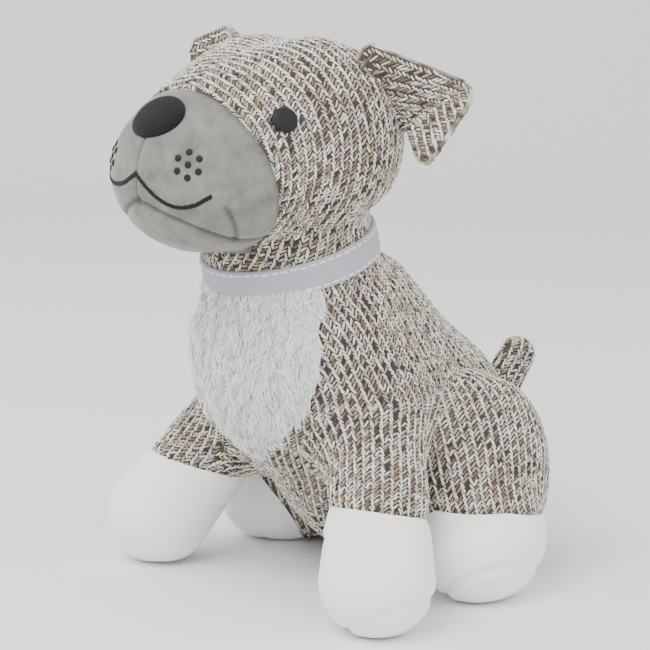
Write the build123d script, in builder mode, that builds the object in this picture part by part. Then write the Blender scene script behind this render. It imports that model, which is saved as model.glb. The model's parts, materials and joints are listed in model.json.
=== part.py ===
from build123d import *
from math import cos, radians, sin
import os

os.makedirs("parts", exist_ok=True)

# Sitting plush dog, stuffed and sewn. Millimetres. The dog looks along -Y, its left is +X
# and it sits on z = 0. Every y is counted from the middle of the neck (neck_y).

# ---- cloth, seams and room to move -------------------------------------------------------
cloth = 1.5            # thickness of a cover
fill_gap = 0.2         # between a cover and its stuffing
joint_gap = 0.8        # between two limbs that move past each other
hidden = 400.0         # a length that reaches past the whole toy, for cutting

# ---- torso -------------------------------------------------------------------------------
neck_y = -40.75
neck_z = 172.0
neck_tilt = 16.0       # the collar stands higher at the nape
neck_radius = 43.0
# height, half width, front and back of the torso
torso_sections = (
    (0, 40, 34, 122),
    (22, 50, 20, 138),
    (58, 61, 0, 145),
    (90, 60, -24, 130),
    (120, 54, -38, 100),
    (150, neck_radius + 5, 2 - neck_radius, neck_radius + 25),
    (195, neck_radius, -8 - neck_radius, neck_radius - 5),
)
bib_outline = ((0, 71), (28, 90), (40, 103), (46, 122), (44, 140), (37, 170))
bib_pile = 3.0         # how far the long fur stands above the cover
bib_depth = (-62.0, 4.0)
bag_radius = 30.0
bag_height = 26.0
bag_y = 78.0
bag_round = 10.0

# ---- collar and neck ---------------------------------------------------------------------
collar_width = 15.0
collar_thick = 1.2
collar_ease = 0.3
collar_lap = 24.0      # angle of the sewn overlap at the nape
dome_step = 5.0        # the neck's stuffed ball is this much smaller than the neck
rim_step = 8.0         # lowest edge of the head above the collar's edge
dome_radius = neck_radius - dome_step
rim_height = collar_width / 2 + rim_step

# ---- head --------------------------------------------------------------------------------
head_y = -3.0
head_rise = 58.0       # middle of the head above the middle of the neck
head_z = neck_z + head_rise
head_size = (54.0, 51.0, 50.0)
muzzle_y = -50.0
muzzle_z = head_z - 12.0
muzzle_size = (49.0, 46.0, 39.0)
muzzle_seam_y = -54.0  # where the muzzle's seam plane meets the head's middle height
muzzle_seam_tilt = 19.0
chin_seam_z = head_z - 24.0  # height of the chin's seam at the very front
chin_seam_tilt = 13.0
head_nod_down = 8.0
head_nod_up = 8.0
head_turn = 20.0

nose_at = (0.0, -81.0, head_z + 14.0)
nose_size = (14.5, 11.5, 4.5)
nose_lean = 52.0       # angle of the nose's face above the horizontal
eye_from_middle = (46.0, -41.0, 13.0)
eye_radius = 6.0
eye_thick = 1.0
eye_length = 80.0
thread_thick = 0.6
dots_at = (28.0, head_z - 6.0)
dot_ring = 6.0
dot_radius = 1.7
mouth_peak = head_z - 11.5
mouth_low = (21.0, head_z - 25.7)
mouth_corner = (37.5, head_z - 20.0)
mouth_width = 1.8

# ---- ears --------------------------------------------------------------------------------
ear_top = (42.0, 4.0, head_z + 37.0)
ear_bottom = (49.0, 28.0, head_z + 1.0)
ear_outer = (83.0, 40.0, head_z + 22.0)
ear_fold = (71.0, 27.0, head_z + 4.0)
ear_tip = (80.0, 15.0, head_z - 9.0)
ear_root = 10.0        # cloth that runs in to the head before it is trimmed
ear_panel = 1.5
ear_bend_radius = 1.2  # bead of cloth that carries the back panel round the fold
bend_margin = 0.1      # share of the fold left free of the bead at each end
ear_head_gap = 2.6
ear_swing = 12.0

# ---- forelegs ----------------------------------------------------------------------------
shoulder = (38.0, 14.0, 98.0)
shoulder_radius = 26.0
ankle_radius = 22.5
forepaw_radius = 26.5
foot_sink = 0.5        # how far a paw's round would pass below the ground if not pressed flat
forefoot = (83.0, -19.0, forepaw_radius - foot_sink)
forepaw_seam = 0.55    # where the white paw starts along the leg
foreleg_swing = 10.0
forefoot_sole = (0.45, 0.05, -0.89)
sole_depth = 16.0

# ---- hind legs ---------------------------------------------------------------------------
haunch_radius = 46.0
haunch_above = 4.0     # room between the haunch's round and the ground
hip = (46.0, 76.0, haunch_radius + haunch_above)
haunch_bulge = 46.0
knee = (71.0, 66.0, 42.0)
knee_radius = 27.0
hindpaw_radius = 26.0
hindfoot = (76.0, 52.0, hindpaw_radius - foot_sink)
hindpaw_top = 46.0
hind_up = 14.0
hind_down = 5.0
hindfoot_sole = (0.55, -0.1, -0.83)

# ---- tail --------------------------------------------------------------------------------
tail_root = (0.0, 136.0, 60.0)
tail_end = (0.0, 168.0, 98.0)
tail_radius = 10.5
tail_tip_radius = 9.5
tail_wag = 20.0

sides = (("left", 1), ("right", -1))


def place(point, side=1):
    """A point counted from the neck, on one side of the toy."""
    return Vector(side * point[0], neck_y + point[1], point[2])


def save(part, label):
    """Name a finished piece and write it."""
    part.label = label
    export_step(part, f"parts/{label}.step")


def above(plane, height=0.0):
    """The half of space above a plane."""
    with BuildPart(plane.offset(height)) as space:
        Box(2 * hidden, 2 * hidden, hidden, align=(Align.CENTER, Align.CENTER, Align.MIN))
    return space.part


def ball(centre, radius):
    """A ball about a point."""
    with BuildPart(Plane(centre)) as form:
        Sphere(radius)
    return form.part


def egg(centre, size, inset=0.0):
    """A rounded form with three half sizes, drawn in by an inset."""
    factors = tuple(half - inset for half in size)
    unit = scale(Sphere(1.0, mode=Mode.PRIVATE), by=factors)
    return unit.moved(Location(centre))


def taper(start, end, start_radius, end_radius):
    """A straight tapered limb with round ends."""
    run = end - start
    with BuildPart(Plane(start, z_dir=run)) as form:
        Cone(start_radius, end_radius, run.length, align=(Align.CENTER, Align.CENTER, Align.MIN))
        Sphere(start_radius)
        with Locations((0, 0, run.length)):
            Sphere(end_radius)
    return form.part


# ------------------------------------------------------------------------------------------
# Frames shared by neighbouring pieces
# ------------------------------------------------------------------------------------------
neck_centre = place((0, 0, neck_z))
neck_axis = Vector(0, -sin(radians(neck_tilt)), cos(radians(neck_tilt)))
neck_plane = Plane(neck_centre, x_dir=(1, 0, 0), z_dir=neck_axis)
head_centre = place((0, head_y, head_z))
muzzle_centre = place((0, muzzle_y, muzzle_z))
floor = Plane.XY
halves = {name: above(Plane((0, 0, 0), z_dir=(side, 0, 0))) for name, side in sides}


def foreleg_form(side, inset=0.0):
    """Whole foreleg: shoulder ball, tapering leg and paw, flat where it stands."""
    start = place(shoulder, side)
    end = place(forefoot, side)
    seam = start + (end - start) * forepaw_seam
    upper = taper(start, seam, shoulder_radius - inset, ankle_radius - inset)
    lower = taper(seam, end, ankle_radius - inset, forepaw_radius - inset)
    standing = above(floor, inset)
    with BuildPart() as form:
        add(upper)
        add(lower)
        add(standing, mode=Mode.INTERSECT)
    return form.part


def haunch_form(side, inset=0.0):
    """Domed haunch, turned about the hip's own axis, with a flat inner face."""
    centre = place(hip, side)
    outline = Plane(centre, x_dir=(side, 0, 0), z_dir=(0, -side, 0))
    with BuildPart() as form:
        with BuildSketch(outline):
            Ellipse(haunch_bulge - inset, haunch_radius - inset)
            with Locations((hidden / 2 + inset, hidden / 2)):
                Rectangle(hidden, hidden, mode=Mode.INTERSECT)
        revolve(axis=Axis(centre, (side, 0, 0)))
    return form.part


def hindfoot_form(side, inset=0.0):
    """Lower hind leg and foot."""
    leg = taper(place(knee, side), place(hindfoot, side),
                knee_radius - inset, hindpaw_radius - inset)
    standing = above(floor, inset)
    outside = above(Plane(place(hip, side), z_dir=(side, 0, 0)), inset)
    with BuildPart() as form:
        add(leg)
        add(standing, mode=Mode.INTERSECT)
        add(outside, mode=Mode.INTERSECT)
    return form.part


def collar_groove(inset=0.0):
    """What is cut away so that the top of the body is a round neck under the collar."""
    depth = collar_width / 2 + collar_ease + cloth + inset
    with BuildPart() as form:
        with BuildSketch(neck_plane.offset(-depth)):
            Circle(hidden / 2)
            Circle(neck_radius - inset, mode=Mode.SUBTRACT)
        extrude(amount=2 * depth)
    return form.part


def torso_form(inset=0.0):
    """Body without limbs, from the seat to above the neck."""
    groove = collar_groove(max(inset, 0.0))
    with BuildPart() as form:
        for height, half_width, front, back in torso_sections:
            middle = neck_y + (front + back) / 2
            half_depth = (back - front) / 2
            with BuildSketch(Plane.XY.offset(max(height, cloth + inset))):
                with Locations((0, middle)):
                    Ellipse(half_width - inset, half_depth - inset)
        loft()
        add(groove, mode=Mode.SUBTRACT)
    return form.part


def swung(part, centre, direction, angles):
    """Copies of a limb at several angles about its joint."""
    return [part.rotate(Axis(centre, direction), angle) for angle in angles]


foreleg_room = []
hind_room = []
for _, side in sides:
    stops = (-foreleg_swing, -foreleg_swing / 2, 0, foreleg_swing / 2, foreleg_swing)
    limb = foreleg_form(side, -joint_gap)
    foreleg_room += swung(limb, place(shoulder, side), (1, 0, 0), stops)
    stops = (-hind_up, -hind_up / 2, 0, hind_down)
    limb = hindfoot_form(side, -joint_gap)
    hind_room += swung(limb, place(hip, side), (1, 0, 0), stops)
    hind_room.append(haunch_form(side, -joint_gap))

tail_start = place(tail_root)
tail_stop = place(tail_end)
tail_run = tail_stop - tail_start
wag_axis = tail_run.cross(Vector(1, 0, 0)).normalized()
tail_room = swung(taper(tail_start, tail_stop, tail_radius + joint_gap,
                        tail_tip_radius + joint_gap),
                  tail_start, wag_axis, (-tail_wag, -tail_wag / 2, 0, tail_wag / 2, tail_wag))

above_neck = above(neck_plane)
limb_room = foreleg_room + hind_room + tail_room + [above_neck]

# ------------------------------------------------------------------------------------------
# Torso: two cover halves, fur bib, seat panel, stuffing and a bag of pellets
# ------------------------------------------------------------------------------------------
torso_outer = torso_form()
torso_inner = torso_form(cloth)
torso_fill = torso_form(cloth + fill_gap)

with BuildPart() as bib_zone:
    with BuildSketch(Plane.XZ.offset(-neck_y - bib_depth[1])):
        with BuildLine():
            edge = Spline(*bib_outline)
            Line(edge @ 1, (0, bib_outline[-1][1]))
            mirror(about=Plane.YZ)
        make_face()
    extrude(amount=bib_depth[1] - bib_depth[0])

torso_fur = torso_form(-bib_pile)
with BuildPart() as chest_bib:
    add(torso_fur)
    add(torso_inner, mode=Mode.SUBTRACT)
    add(bib_zone.part, mode=Mode.INTERSECT)
    for room in limb_room:
        add(room, mode=Mode.SUBTRACT)
save(chest_bib.part, "chest_bib")

for name, side in sides:
    with BuildPart() as torso_cover:
        add(torso_outer)
        add(torso_inner, mode=Mode.SUBTRACT)
        add(halves[name], mode=Mode.INTERSECT)
        add(bib_zone.part, mode=Mode.SUBTRACT)
        for room in limb_room:
            add(room, mode=Mode.SUBTRACT)
    save(torso_cover.part, f"torso_cover_{name}")

seat_low = torso_sections[0]
with BuildPart() as seat_panel:
    with BuildSketch():
        with Locations((0, neck_y + (seat_low[2] + seat_low[3]) / 2)):
            Ellipse(seat_low[1], (seat_low[3] - seat_low[2]) / 2)
    extrude(amount=cloth)
save(seat_panel.part, "seat_panel")

bag_floor = 2 * cloth + fill_gap
with BuildPart(Plane((0, neck_y + bag_y, bag_floor))) as pellet_bag:
    Cylinder(bag_radius, bag_height, align=(Align.CENTER, Align.CENTER, Align.MIN))
    fillet(pellet_bag.edges().filter_by(GeomType.CIRCLE), bag_round)
save(pellet_bag.part, "pellet_bag")

with BuildPart(Plane((0, neck_y + bag_y, 0))) as bag_room:
    Cylinder(bag_radius + fill_gap, bag_floor + bag_height + fill_gap,
             align=(Align.CENTER, Align.CENTER, Align.MIN))

with BuildPart() as torso_stuffing:
    add(torso_fill)
    add(bag_room.part, mode=Mode.SUBTRACT)
    for room in limb_room:
        add(room, mode=Mode.SUBTRACT)
save(torso_stuffing.part, "torso_stuffing")

# ------------------------------------------------------------------------------------------
# Collar: a ribbon round the neck, lapped and sewn at the nape
# ------------------------------------------------------------------------------------------
collar_inner = neck_radius + collar_ease
collar_outer = collar_inner + collar_thick
collar_low = neck_plane.offset(-collar_width / 2)
with BuildPart() as collar_ribbon:
    with BuildSketch(collar_low):
        Circle(collar_outer)
        Circle(collar_inner, mode=Mode.SUBTRACT)
    extrude(amount=collar_width)
save(collar_ribbon.part, "collar_ribbon")

with BuildPart() as collar_end:
    with BuildSketch(collar_low):
        Circle(collar_outer + collar_thick)
        Circle(collar_outer, mode=Mode.SUBTRACT)
        reach = 2 * collar_outer
        spread = reach * sin(radians(collar_lap / 2))
        with BuildLine():
            Polyline((0, 0), (spread, reach), (-spread, reach), close=True)
        make_face(mode=Mode.INTERSECT)
    extrude(amount=collar_width)
save(collar_end.part, "collar_end")

# ------------------------------------------------------------------------------------------
# Neck: a stuffed ball under the head, in a cover of its own
# ------------------------------------------------------------------------------------------
above_seam = above(neck_plane, joint_gap / 2)
dome_outer = ball(neck_centre, dome_radius)
dome_inner = ball(neck_centre, dome_radius - cloth)
dome_fill = ball(neck_centre, dome_radius - cloth - fill_gap)
with BuildPart() as neck_cover:
    add(dome_outer)
    add(dome_inner, mode=Mode.SUBTRACT)
    add(above_seam, mode=Mode.INTERSECT)
save(neck_cover.part, "neck_cover")

with BuildPart() as neck_stuffing:
    add(dome_fill)
    add(above_seam, mode=Mode.INTERSECT)
save(neck_stuffing.part, "neck_stuffing")


# ------------------------------------------------------------------------------------------
# Head: cover halves, grey muzzle and chin panels, and the features sewn on them
# ------------------------------------------------------------------------------------------
def head_form(inset=0.0):
    """Skull and muzzle together."""
    skull = egg(head_centre, head_size, inset)
    muzzle = egg(muzzle_centre, muzzle_size, inset)
    with BuildPart() as form:
        add(skull)
        add(muzzle)
    return form.part


muzzle_seam = Plane((0, neck_y + muzzle_seam_y, head_z), x_dir=(1, 0, 0),
                    z_dir=(0, -cos(radians(muzzle_seam_tilt)), -sin(radians(muzzle_seam_tilt))))
chin_front = muzzle_centre.Y - muzzle_size[1]
chin_seam = Plane((0, chin_front, chin_seam_z), x_dir=(1, 0, 0),
                  z_dir=(0, -sin(radians(chin_seam_tilt)), -cos(radians(chin_seam_tilt))))
in_muzzle = above(muzzle_seam)
in_chin = above(chin_seam)
head_room = ball(neck_centre, dome_radius + joint_gap)
above_rim = above(neck_plane, rim_height)

head_outer = head_form()
head_inner = head_form(cloth)
with BuildPart() as head_shell:
    add(head_outer)
    add(head_inner, mode=Mode.SUBTRACT)
    add(head_room, mode=Mode.SUBTRACT)
    add(above_rim, mode=Mode.INTERSECT)

for name, side in sides:
    with BuildPart() as head_cover:
        add(head_shell.part)
        add(in_muzzle, mode=Mode.SUBTRACT)
        add(halves[name], mode=Mode.INTERSECT)
    save(head_cover.part, f"head_cover_{name}")

    with BuildPart() as muzzle_panel:
        add(head_shell.part)
        add(in_muzzle, mode=Mode.INTERSECT)
        add(in_chin, mode=Mode.SUBTRACT)
        add(halves[name], mode=Mode.INTERSECT)
    save(muzzle_panel.part, f"muzzle_panel_{name}")

with BuildPart() as chin_panel:
    add(head_shell.part)
    add(in_muzzle, mode=Mode.INTERSECT)
    add(in_chin, mode=Mode.INTERSECT)
save(chin_panel.part, "chin_panel")

head_fill = head_form(cloth + fill_gap)
with BuildPart() as head_stuffing:
    add(head_fill)
    add(head_room, mode=Mode.SUBTRACT)
    add(above_rim, mode=Mode.INTERSECT)
save(head_stuffing.part, "head_stuffing")

thread_layer = head_form(-thread_thick)
felt = egg(Vector(0, 0, 0), nose_size)
nose_plane = Plane(place(nose_at), x_dir=(1, 0, 0),
                   z_dir=(0, -sin(radians(nose_lean)), cos(radians(nose_lean))))
with BuildPart() as nose:
    add(felt.moved(nose_plane.location))
    add(head_outer, mode=Mode.SUBTRACT)
save(nose.part, "nose")

eye_layer = head_form(-eye_thick)
for name, side in sides:
    eye_way = Vector(side * eye_from_middle[0], eye_from_middle[1], eye_from_middle[2])
    with BuildPart() as eye:
        with BuildSketch(Plane(head_centre, z_dir=eye_way)):
            Circle(eye_radius)
        extrude(amount=eye_length)
        add(eye_layer, mode=Mode.INTERSECT)
        add(head_outer, mode=Mode.SUBTRACT)
    save(eye.part, f"eye_{name}")

    with BuildPart() as whisker_dots:
        with BuildSketch(Plane.XZ.offset(-muzzle_centre.Y)):
            with Locations((side * dots_at[0], dots_at[1])):
                Circle(dot_radius)
                with PolarLocations(dot_ring, 6):
                    Circle(dot_radius)
        extrude(amount=hidden)
        add(thread_layer, mode=Mode.INTERSECT)
        add(head_outer, mode=Mode.SUBTRACT)
    save(whisker_dots.part, f"whisker_dots_{name}")

with BuildPart() as mouth_stitching:
    with BuildSketch(Plane.XZ.offset(-muzzle_centre.Y)):
        with BuildLine():
            smile = ThreePointArc((0, mouth_peak), mouth_low, mouth_corner)
            mirror(about=Plane.YZ)
        trace(line_width=mouth_width)
    extrude(amount=hidden)
    add(thread_layer, mode=Mode.INTERSECT)
    add(head_outer, mode=Mode.SUBTRACT)
save(mouth_stitching.part, "mouth_stitching")


# ------------------------------------------------------------------------------------------
# Ears: a front and a back panel each, folded over so that the tip hangs
# ------------------------------------------------------------------------------------------
def corners(plane, points):
    """Points in space as points of a sketch plane."""
    flat = [plane.to_local_coords(point) for point in points]
    return [(point.X, point.Y) for point in flat]


ear_trim = egg(head_centre, head_size, -ear_head_gap)
for name, side in sides:
    top, bottom, outer, fold, tip = (
        place(point, side) for point in (ear_top, ear_bottom, ear_outer, ear_fold, ear_tip))
    root_plane = Plane(top, x_dir=outer - top, z_dir=side * (bottom - top).cross(outer - top))
    tip_plane = Plane(outer, x_dir=fold - outer, z_dir=side * (fold - outer).cross(tip - outer))
    inward = ((top + bottom) / 2 - outer).normalized() * ear_root
    root_edge = corners(root_plane, (top + inward, top, outer, fold, bottom, bottom + inward))
    tip_edge = corners(tip_plane, (outer, fold, tip))
    panels = {}
    for panel, way in (("front", 1), ("back", -1)):
        with BuildPart() as panels[panel]:
            with BuildSketch(root_plane):
                with BuildLine():
                    Polyline(*root_edge, close=True)
                make_face()
            extrude(amount=way * ear_panel)
            with BuildSketch(tip_plane):
                with BuildLine():
                    Polyline(*tip_edge, close=True)
                make_face()
            extrude(amount=way * ear_panel)
            add(ear_trim, mode=Mode.SUBTRACT)
    bend = fold - outer
    with BuildPart() as ear_back:
        add(panels["back"].part)
        with BuildSketch(Plane(outer + bend * bend_margin, z_dir=bend)):
            Circle(ear_bend_radius)
        extrude(amount=bend.length * (1 - 2 * bend_margin))
        add(panels["front"].part, mode=Mode.SUBTRACT)
    save(panels["front"].part, f"ear_front_{name}")
    save(ear_back.part, f"ear_back_{name}")

# ------------------------------------------------------------------------------------------
# Forelegs: tweed cover, white paw, sole and stuffing
# ------------------------------------------------------------------------------------------
for name, side in sides:
    start = place(shoulder, side)
    end = place(forefoot, side)
    seam = Plane(start + (end - start) * forepaw_seam, z_dir=end - start)
    sole_way = Vector(side * forefoot_sole[0], forefoot_sole[1], forefoot_sole[2])
    sole_plane = Plane(end, z_dir=sole_way).offset(sole_depth)
    below_seam = above(seam)
    below_sole = above(sole_plane)
    leg_outer = foreleg_form(side)
    leg_inner = foreleg_form(side, cloth)
    with BuildPart() as leg_shell:
        add(leg_outer)
        add(leg_inner, mode=Mode.SUBTRACT)

    with BuildPart() as foreleg_cover:
        add(leg_shell.part)
        add(below_seam, mode=Mode.SUBTRACT)
    save(foreleg_cover.part, f"foreleg_cover_{name}")

    with BuildPart() as forepaw:
        add(leg_shell.part)
        add(below_seam, mode=Mode.INTERSECT)
        add(below_sole, mode=Mode.SUBTRACT)
    save(forepaw.part, f"forepaw_{name}")

    with BuildPart() as forepaw_sole:
        add(leg_shell.part)
        add(below_sole, mode=Mode.INTERSECT)
    save(forepaw_sole.part, f"forepaw_sole_{name}")

    save(foreleg_form(side, cloth + fill_gap), f"foreleg_stuffing_{name}")

# ------------------------------------------------------------------------------------------
# Hind legs: haunch cover, white paw, sole and stuffing
# ------------------------------------------------------------------------------------------
for name, side in sides:
    haunch_outer = haunch_form(side)
    haunch_inner = haunch_form(side, cloth)
    haunch_fill = haunch_form(side, cloth + fill_gap)
    foot_outer = hindfoot_form(side)
    foot_inner = hindfoot_form(side, cloth)
    foot_fill = hindfoot_form(side, cloth + fill_gap)
    sole_way = Vector(side * hindfoot_sole[0], hindfoot_sole[1], hindfoot_sole[2])
    sole_plane = Plane(place(hindfoot, side), z_dir=sole_way).offset(sole_depth)
    below_sole = above(sole_plane)
    above_paw = above(Plane((0, 0, hindpaw_top)))
    past_hip = above(Plane(place(hip, side), z_dir=(side, 0, 0)), 2 * cloth)
    with BuildPart() as hind_shell:
        add(haunch_outer)
        add(foot_outer)
        add(haunch_inner, mode=Mode.SUBTRACT)
        add(foot_inner, mode=Mode.SUBTRACT)
    with BuildPart() as paw_zone:
        add(foot_outer)
        add(above_paw, mode=Mode.SUBTRACT)
        add(past_hip, mode=Mode.INTERSECT)

    with BuildPart() as haunch_cover:
        add(hind_shell.part)
        add(paw_zone.part, mode=Mode.SUBTRACT)
    save(haunch_cover.part, f"haunch_cover_{name}")

    with BuildPart() as hindpaw:
        add(hind_shell.part)
        add(paw_zone.part, mode=Mode.INTERSECT)
        add(below_sole, mode=Mode.SUBTRACT)
    save(hindpaw.part, f"hindpaw_{name}")

    with BuildPart() as hindpaw_sole:
        add(hind_shell.part)
        add(paw_zone.part, mode=Mode.INTERSECT)
        add(below_sole, mode=Mode.INTERSECT)
    save(hindpaw_sole.part, f"hindpaw_sole_{name}")

    with BuildPart() as hindleg_stuffing:
        add(haunch_fill)
        add(foot_fill)
    save(hindleg_stuffing.part, f"hindleg_stuffing_{name}")

# ------------------------------------------------------------------------------------------
# Tail
# ------------------------------------------------------------------------------------------
def tail_form(inset=0.0):
    """Whole tail."""
    return taper(tail_start, tail_stop, tail_radius - inset, tail_tip_radius - inset)


tail_outer = tail_form()
tail_inner = tail_form(cloth)
with BuildPart() as tail_cover:
    add(tail_outer)
    add(tail_inner, mode=Mode.SUBTRACT)
save(tail_cover.part, "tail_cover")
save(tail_form(cloth + fill_gap), "tail_stuffing")
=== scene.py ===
"""Looks of the sitting plush dog: knitted tweed covers, fur bib, plush paws and a sewn face.

Shapes are smooth fields of points in millimetres, with x to the dog's left, y counted from
the middle of the neck and z from the ground. Each panel is cut from its field and then
stitched, so every yarn is a small arched strip lying on the cloth.
"""

import json
import math

import bpy
import numpy as np
from bpy.props import (FloatProperty, FloatVectorProperty, IntProperty, PointerProperty,
                       StringProperty)
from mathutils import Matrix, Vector
from mathutils.bvhtree import BVHTree


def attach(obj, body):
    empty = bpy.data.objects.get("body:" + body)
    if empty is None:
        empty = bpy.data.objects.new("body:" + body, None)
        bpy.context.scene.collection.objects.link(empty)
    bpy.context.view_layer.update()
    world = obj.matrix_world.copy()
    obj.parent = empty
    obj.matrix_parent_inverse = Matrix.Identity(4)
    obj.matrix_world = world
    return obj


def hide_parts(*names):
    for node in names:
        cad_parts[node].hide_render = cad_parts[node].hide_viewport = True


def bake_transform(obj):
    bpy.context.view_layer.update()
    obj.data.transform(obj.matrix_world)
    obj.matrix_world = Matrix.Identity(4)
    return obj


bl_info = {
    "name": "Sitting plush dog",
    "version": (1, 0, 0),
    "blender": (4, 5, 0),
    "location": "3D View > Sidebar > Plush dog",
    "description": "Builds the cloth, fur and stitching of a sitting plush dog",
    "category": "Object",
}

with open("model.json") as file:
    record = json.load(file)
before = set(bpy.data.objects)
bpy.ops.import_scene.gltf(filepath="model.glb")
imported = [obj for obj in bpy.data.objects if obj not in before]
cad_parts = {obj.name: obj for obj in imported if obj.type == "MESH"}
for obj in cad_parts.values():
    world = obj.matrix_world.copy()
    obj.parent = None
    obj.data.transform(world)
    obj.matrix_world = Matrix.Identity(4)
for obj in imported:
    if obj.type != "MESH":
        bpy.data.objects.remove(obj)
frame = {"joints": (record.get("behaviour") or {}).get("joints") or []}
MM = 0.001
JOINTS = {joint["name"]: joint for joint in frame["joints"]}
NECK_Y = JOINTS["neck_turn"]["pos_m"][1] / MM
SIDES = (("left", 1), ("right", -1))


def point(*xyz):
    return np.array(xyz, float)


def pivot(joint):
    """Where a joint turns, in the shapes' millimetres."""
    return np.array(JOINTS[joint]["pos_m"]) / MM - point(0, NECK_Y, 0)


def frame_point(p):
    """A point of the shapes as metres in the frame."""
    return [p[0] * MM, (p[1] + NECK_Y) * MM, p[2] * MM]


NECK = pivot("neck_turn")
NECK_AXIS = np.array(JOINTS["neck_turn"]["axis"], float)

# ------------------------------------------------------------------------------------------
# Measures
# ------------------------------------------------------------------------------------------
COLLAR_RADIUS = 43.0
TRUNK_TOP = -2.5         # along the neck, where the trunk's cloth ends under the ribbon
HEAD_BOTTOM = -1.5       # along the neck, where the head's cloth starts
NECK_SPLIT = 18.0        # along the neck, where its cloth meets the head's
NECK_BEND = 8.0          # along the neck, an end given to bend for the neck's cloth
FLOOR_GAP = 0.4          # between the floor and cloth that is pressed flat on it
FLOOR_ROUND = 3.0
SEAT_Z = 1.6             # the trunk's walls start here
HAUNCH_FLOOR_Z = 2.6     # and a haunch's walls here
STITCH_LOW_Z = 3.0       # lowest stitch of the trunk and haunches
LEG_FILLET = 16.0
HIND_FILLET = 10.0
FORELEG_MARGIN = 13.0    # how far a leg's cloth runs in under the trunk's
HIND_MARGIN = 8.0
KNEE, FOREPAW = point(63, 1, 61), point(83, -19, 25.8)
FORELEG_SEAM_Z = 104.0
FORELEG_AXIS = point(20, -20, -34) / np.linalg.norm(point(20, -20, -34))
HAUNCH_SEAM_X = 57.0
HAUNCH_SEAM_Y = 60.0
HAUNCH_INNER_X = 22.0
MUZZLE_EDGE = 21.0
CHIN_LIMIT = 16.0
SUEDE_LIFT = 0.5         # thickness of suede and plush over the stuffed shape
PLUSH_LIFT = 0.8
GROUND_SINK = 0.25       # cloth between the yarns, below the stuffed shape
FLATTEN_ROUNDS = 14      # passes that even out the stretch of a flat pattern
YARN_BAND = 0.78         # part of the bake map below this is for yarns
CLOTH_BAND = 0.8         # and above this for the cloth below them
PAW_TAKES_OVER = 4.0     # a hind foot shows down to this depth inside the haunch


# ------------------------------------------------------------------------------------------
# Smooth fields
# ------------------------------------------------------------------------------------------
def join(a, b, k):
    """The nearer of two distances, with a fillet of size k."""
    h = np.maximum(k - np.abs(a - b), 0) / k
    return np.minimum(a, b) - h * h * k / 4


def meet(a, b, k):
    return -join(-a, -b, k)


def floored(p, distance):
    """A distance, pressed flat on the floor."""
    return meet(distance, FLOOR_GAP - p[:, 2], FLOOR_ROUND)


def unit(vectors, least=1e-9):
    return vectors / np.maximum(np.linalg.norm(vectors, axis=-1), least)[..., None]


def turn_of(a, b):
    """Twice the area between flat vectors."""
    return a[:, 0] * b[:, 1] - a[:, 1] * b[:, 0]


def not_zero(values, least):
    return np.where(np.abs(values) < least, least, values)


def ramp(x, low, high):
    t = np.clip((x - low) / (high - low), 0, 1)
    return t * t * (3 - 2 * t)


def egg(p, centre, radii, lean=0.0):
    """Distance to an ellipsoid that leans about the x axis."""
    q = p - np.array(centre, float)
    c, s = math.cos(math.radians(lean)), math.sin(math.radians(lean))
    q = np.stack([q[:, 0], c * q[:, 1] + s * q[:, 2], c * q[:, 2] - s * q[:, 1]], -1)
    r = np.array(radii, float)
    near = np.linalg.norm(q / r, axis=1)
    slope = np.linalg.norm(q / (r * r), axis=1)
    return near * (near - 1) / np.maximum(slope, 1e-9)


def limb(p, start, end, r1, r2):
    """Distance to a straight limb with round ends."""
    a = np.array(start, float)
    run = np.array(end, float) - a
    t = np.clip((p - a) @ run / (run @ run), 0, 1)
    return np.linalg.norm(p - a - t[:, None] * run, axis=1) - (r1 + (r2 - r1) * t)


def mirrored(p):
    return np.abs(p) * point(1, 0, 0) + p * point(0, 1, 1)


def along_neck(p):
    return (p - NECK) @ NECK_AXIS


def round_neck(p):
    q = p - NECK
    return np.sqrt(np.maximum((q * q).sum(1) - (q @ NECK_AXIS) ** 2, 0)) - COLLAR_RADIUS


def body_field(p):
    """Trunk from the seat to the collar."""
    trunk = limb(p, (0, 5, 163), (0, 57, 82), 42, 60)
    trunk = join(trunk, egg(p, (0, 1, 118), (54, 40, 52)), 30)
    trunk = join(trunk, egg(p, (0, 81, 57), (61, 60, 59)), 25)
    near = ramp(-along_neck(p), 6, 26)
    return round_neck(p) * (1 - near) + trunk * near


def foreleg_field(p):
    q = mirrored(p)
    leg = limb(q, (36, 20, 98), KNEE, 29, 22.5)
    return join(leg, limb(q, KNEE, FOREPAW, 22.5, 27.2), 6)


def haunch_field(p):
    return egg(mirrored(p), (60, 73, 53), (32, 41, 54), -10)


def hindpaw_field(p):
    q = mirrored(p)
    foot = egg(q, (77, 57, 25.3), (28.5, 31, 27))
    return join(foot, egg(q, (74, 70, 32), (26, 25, 30)), 10)


def hind_field(p):
    return join(haunch_field(p), hindpaw_field(p), 8)


def tail_field(p):
    return limb(p, (0, 138, 62), (0, 168, 98), 11, 9.5)


def trunk_field(p):
    """Trunk that swells over each foreleg above the foreleg's top seam."""
    body = body_field(p)
    over = join(body, foreleg_field(p), LEG_FILLET)
    above_seam = ramp(p[:, 2], FORELEG_SEAM_Z - 8, FORELEG_SEAM_Z)
    return floored(p, body * (1 - above_seam) + over * above_seam)


def foreleg_on_body(p):
    return floored(p, join(body_field(p), foreleg_field(p), LEG_FILLET))


def hind_on_body(p):
    return floored(p, join(body_field(p), hind_field(p), HIND_FILLET))


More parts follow.
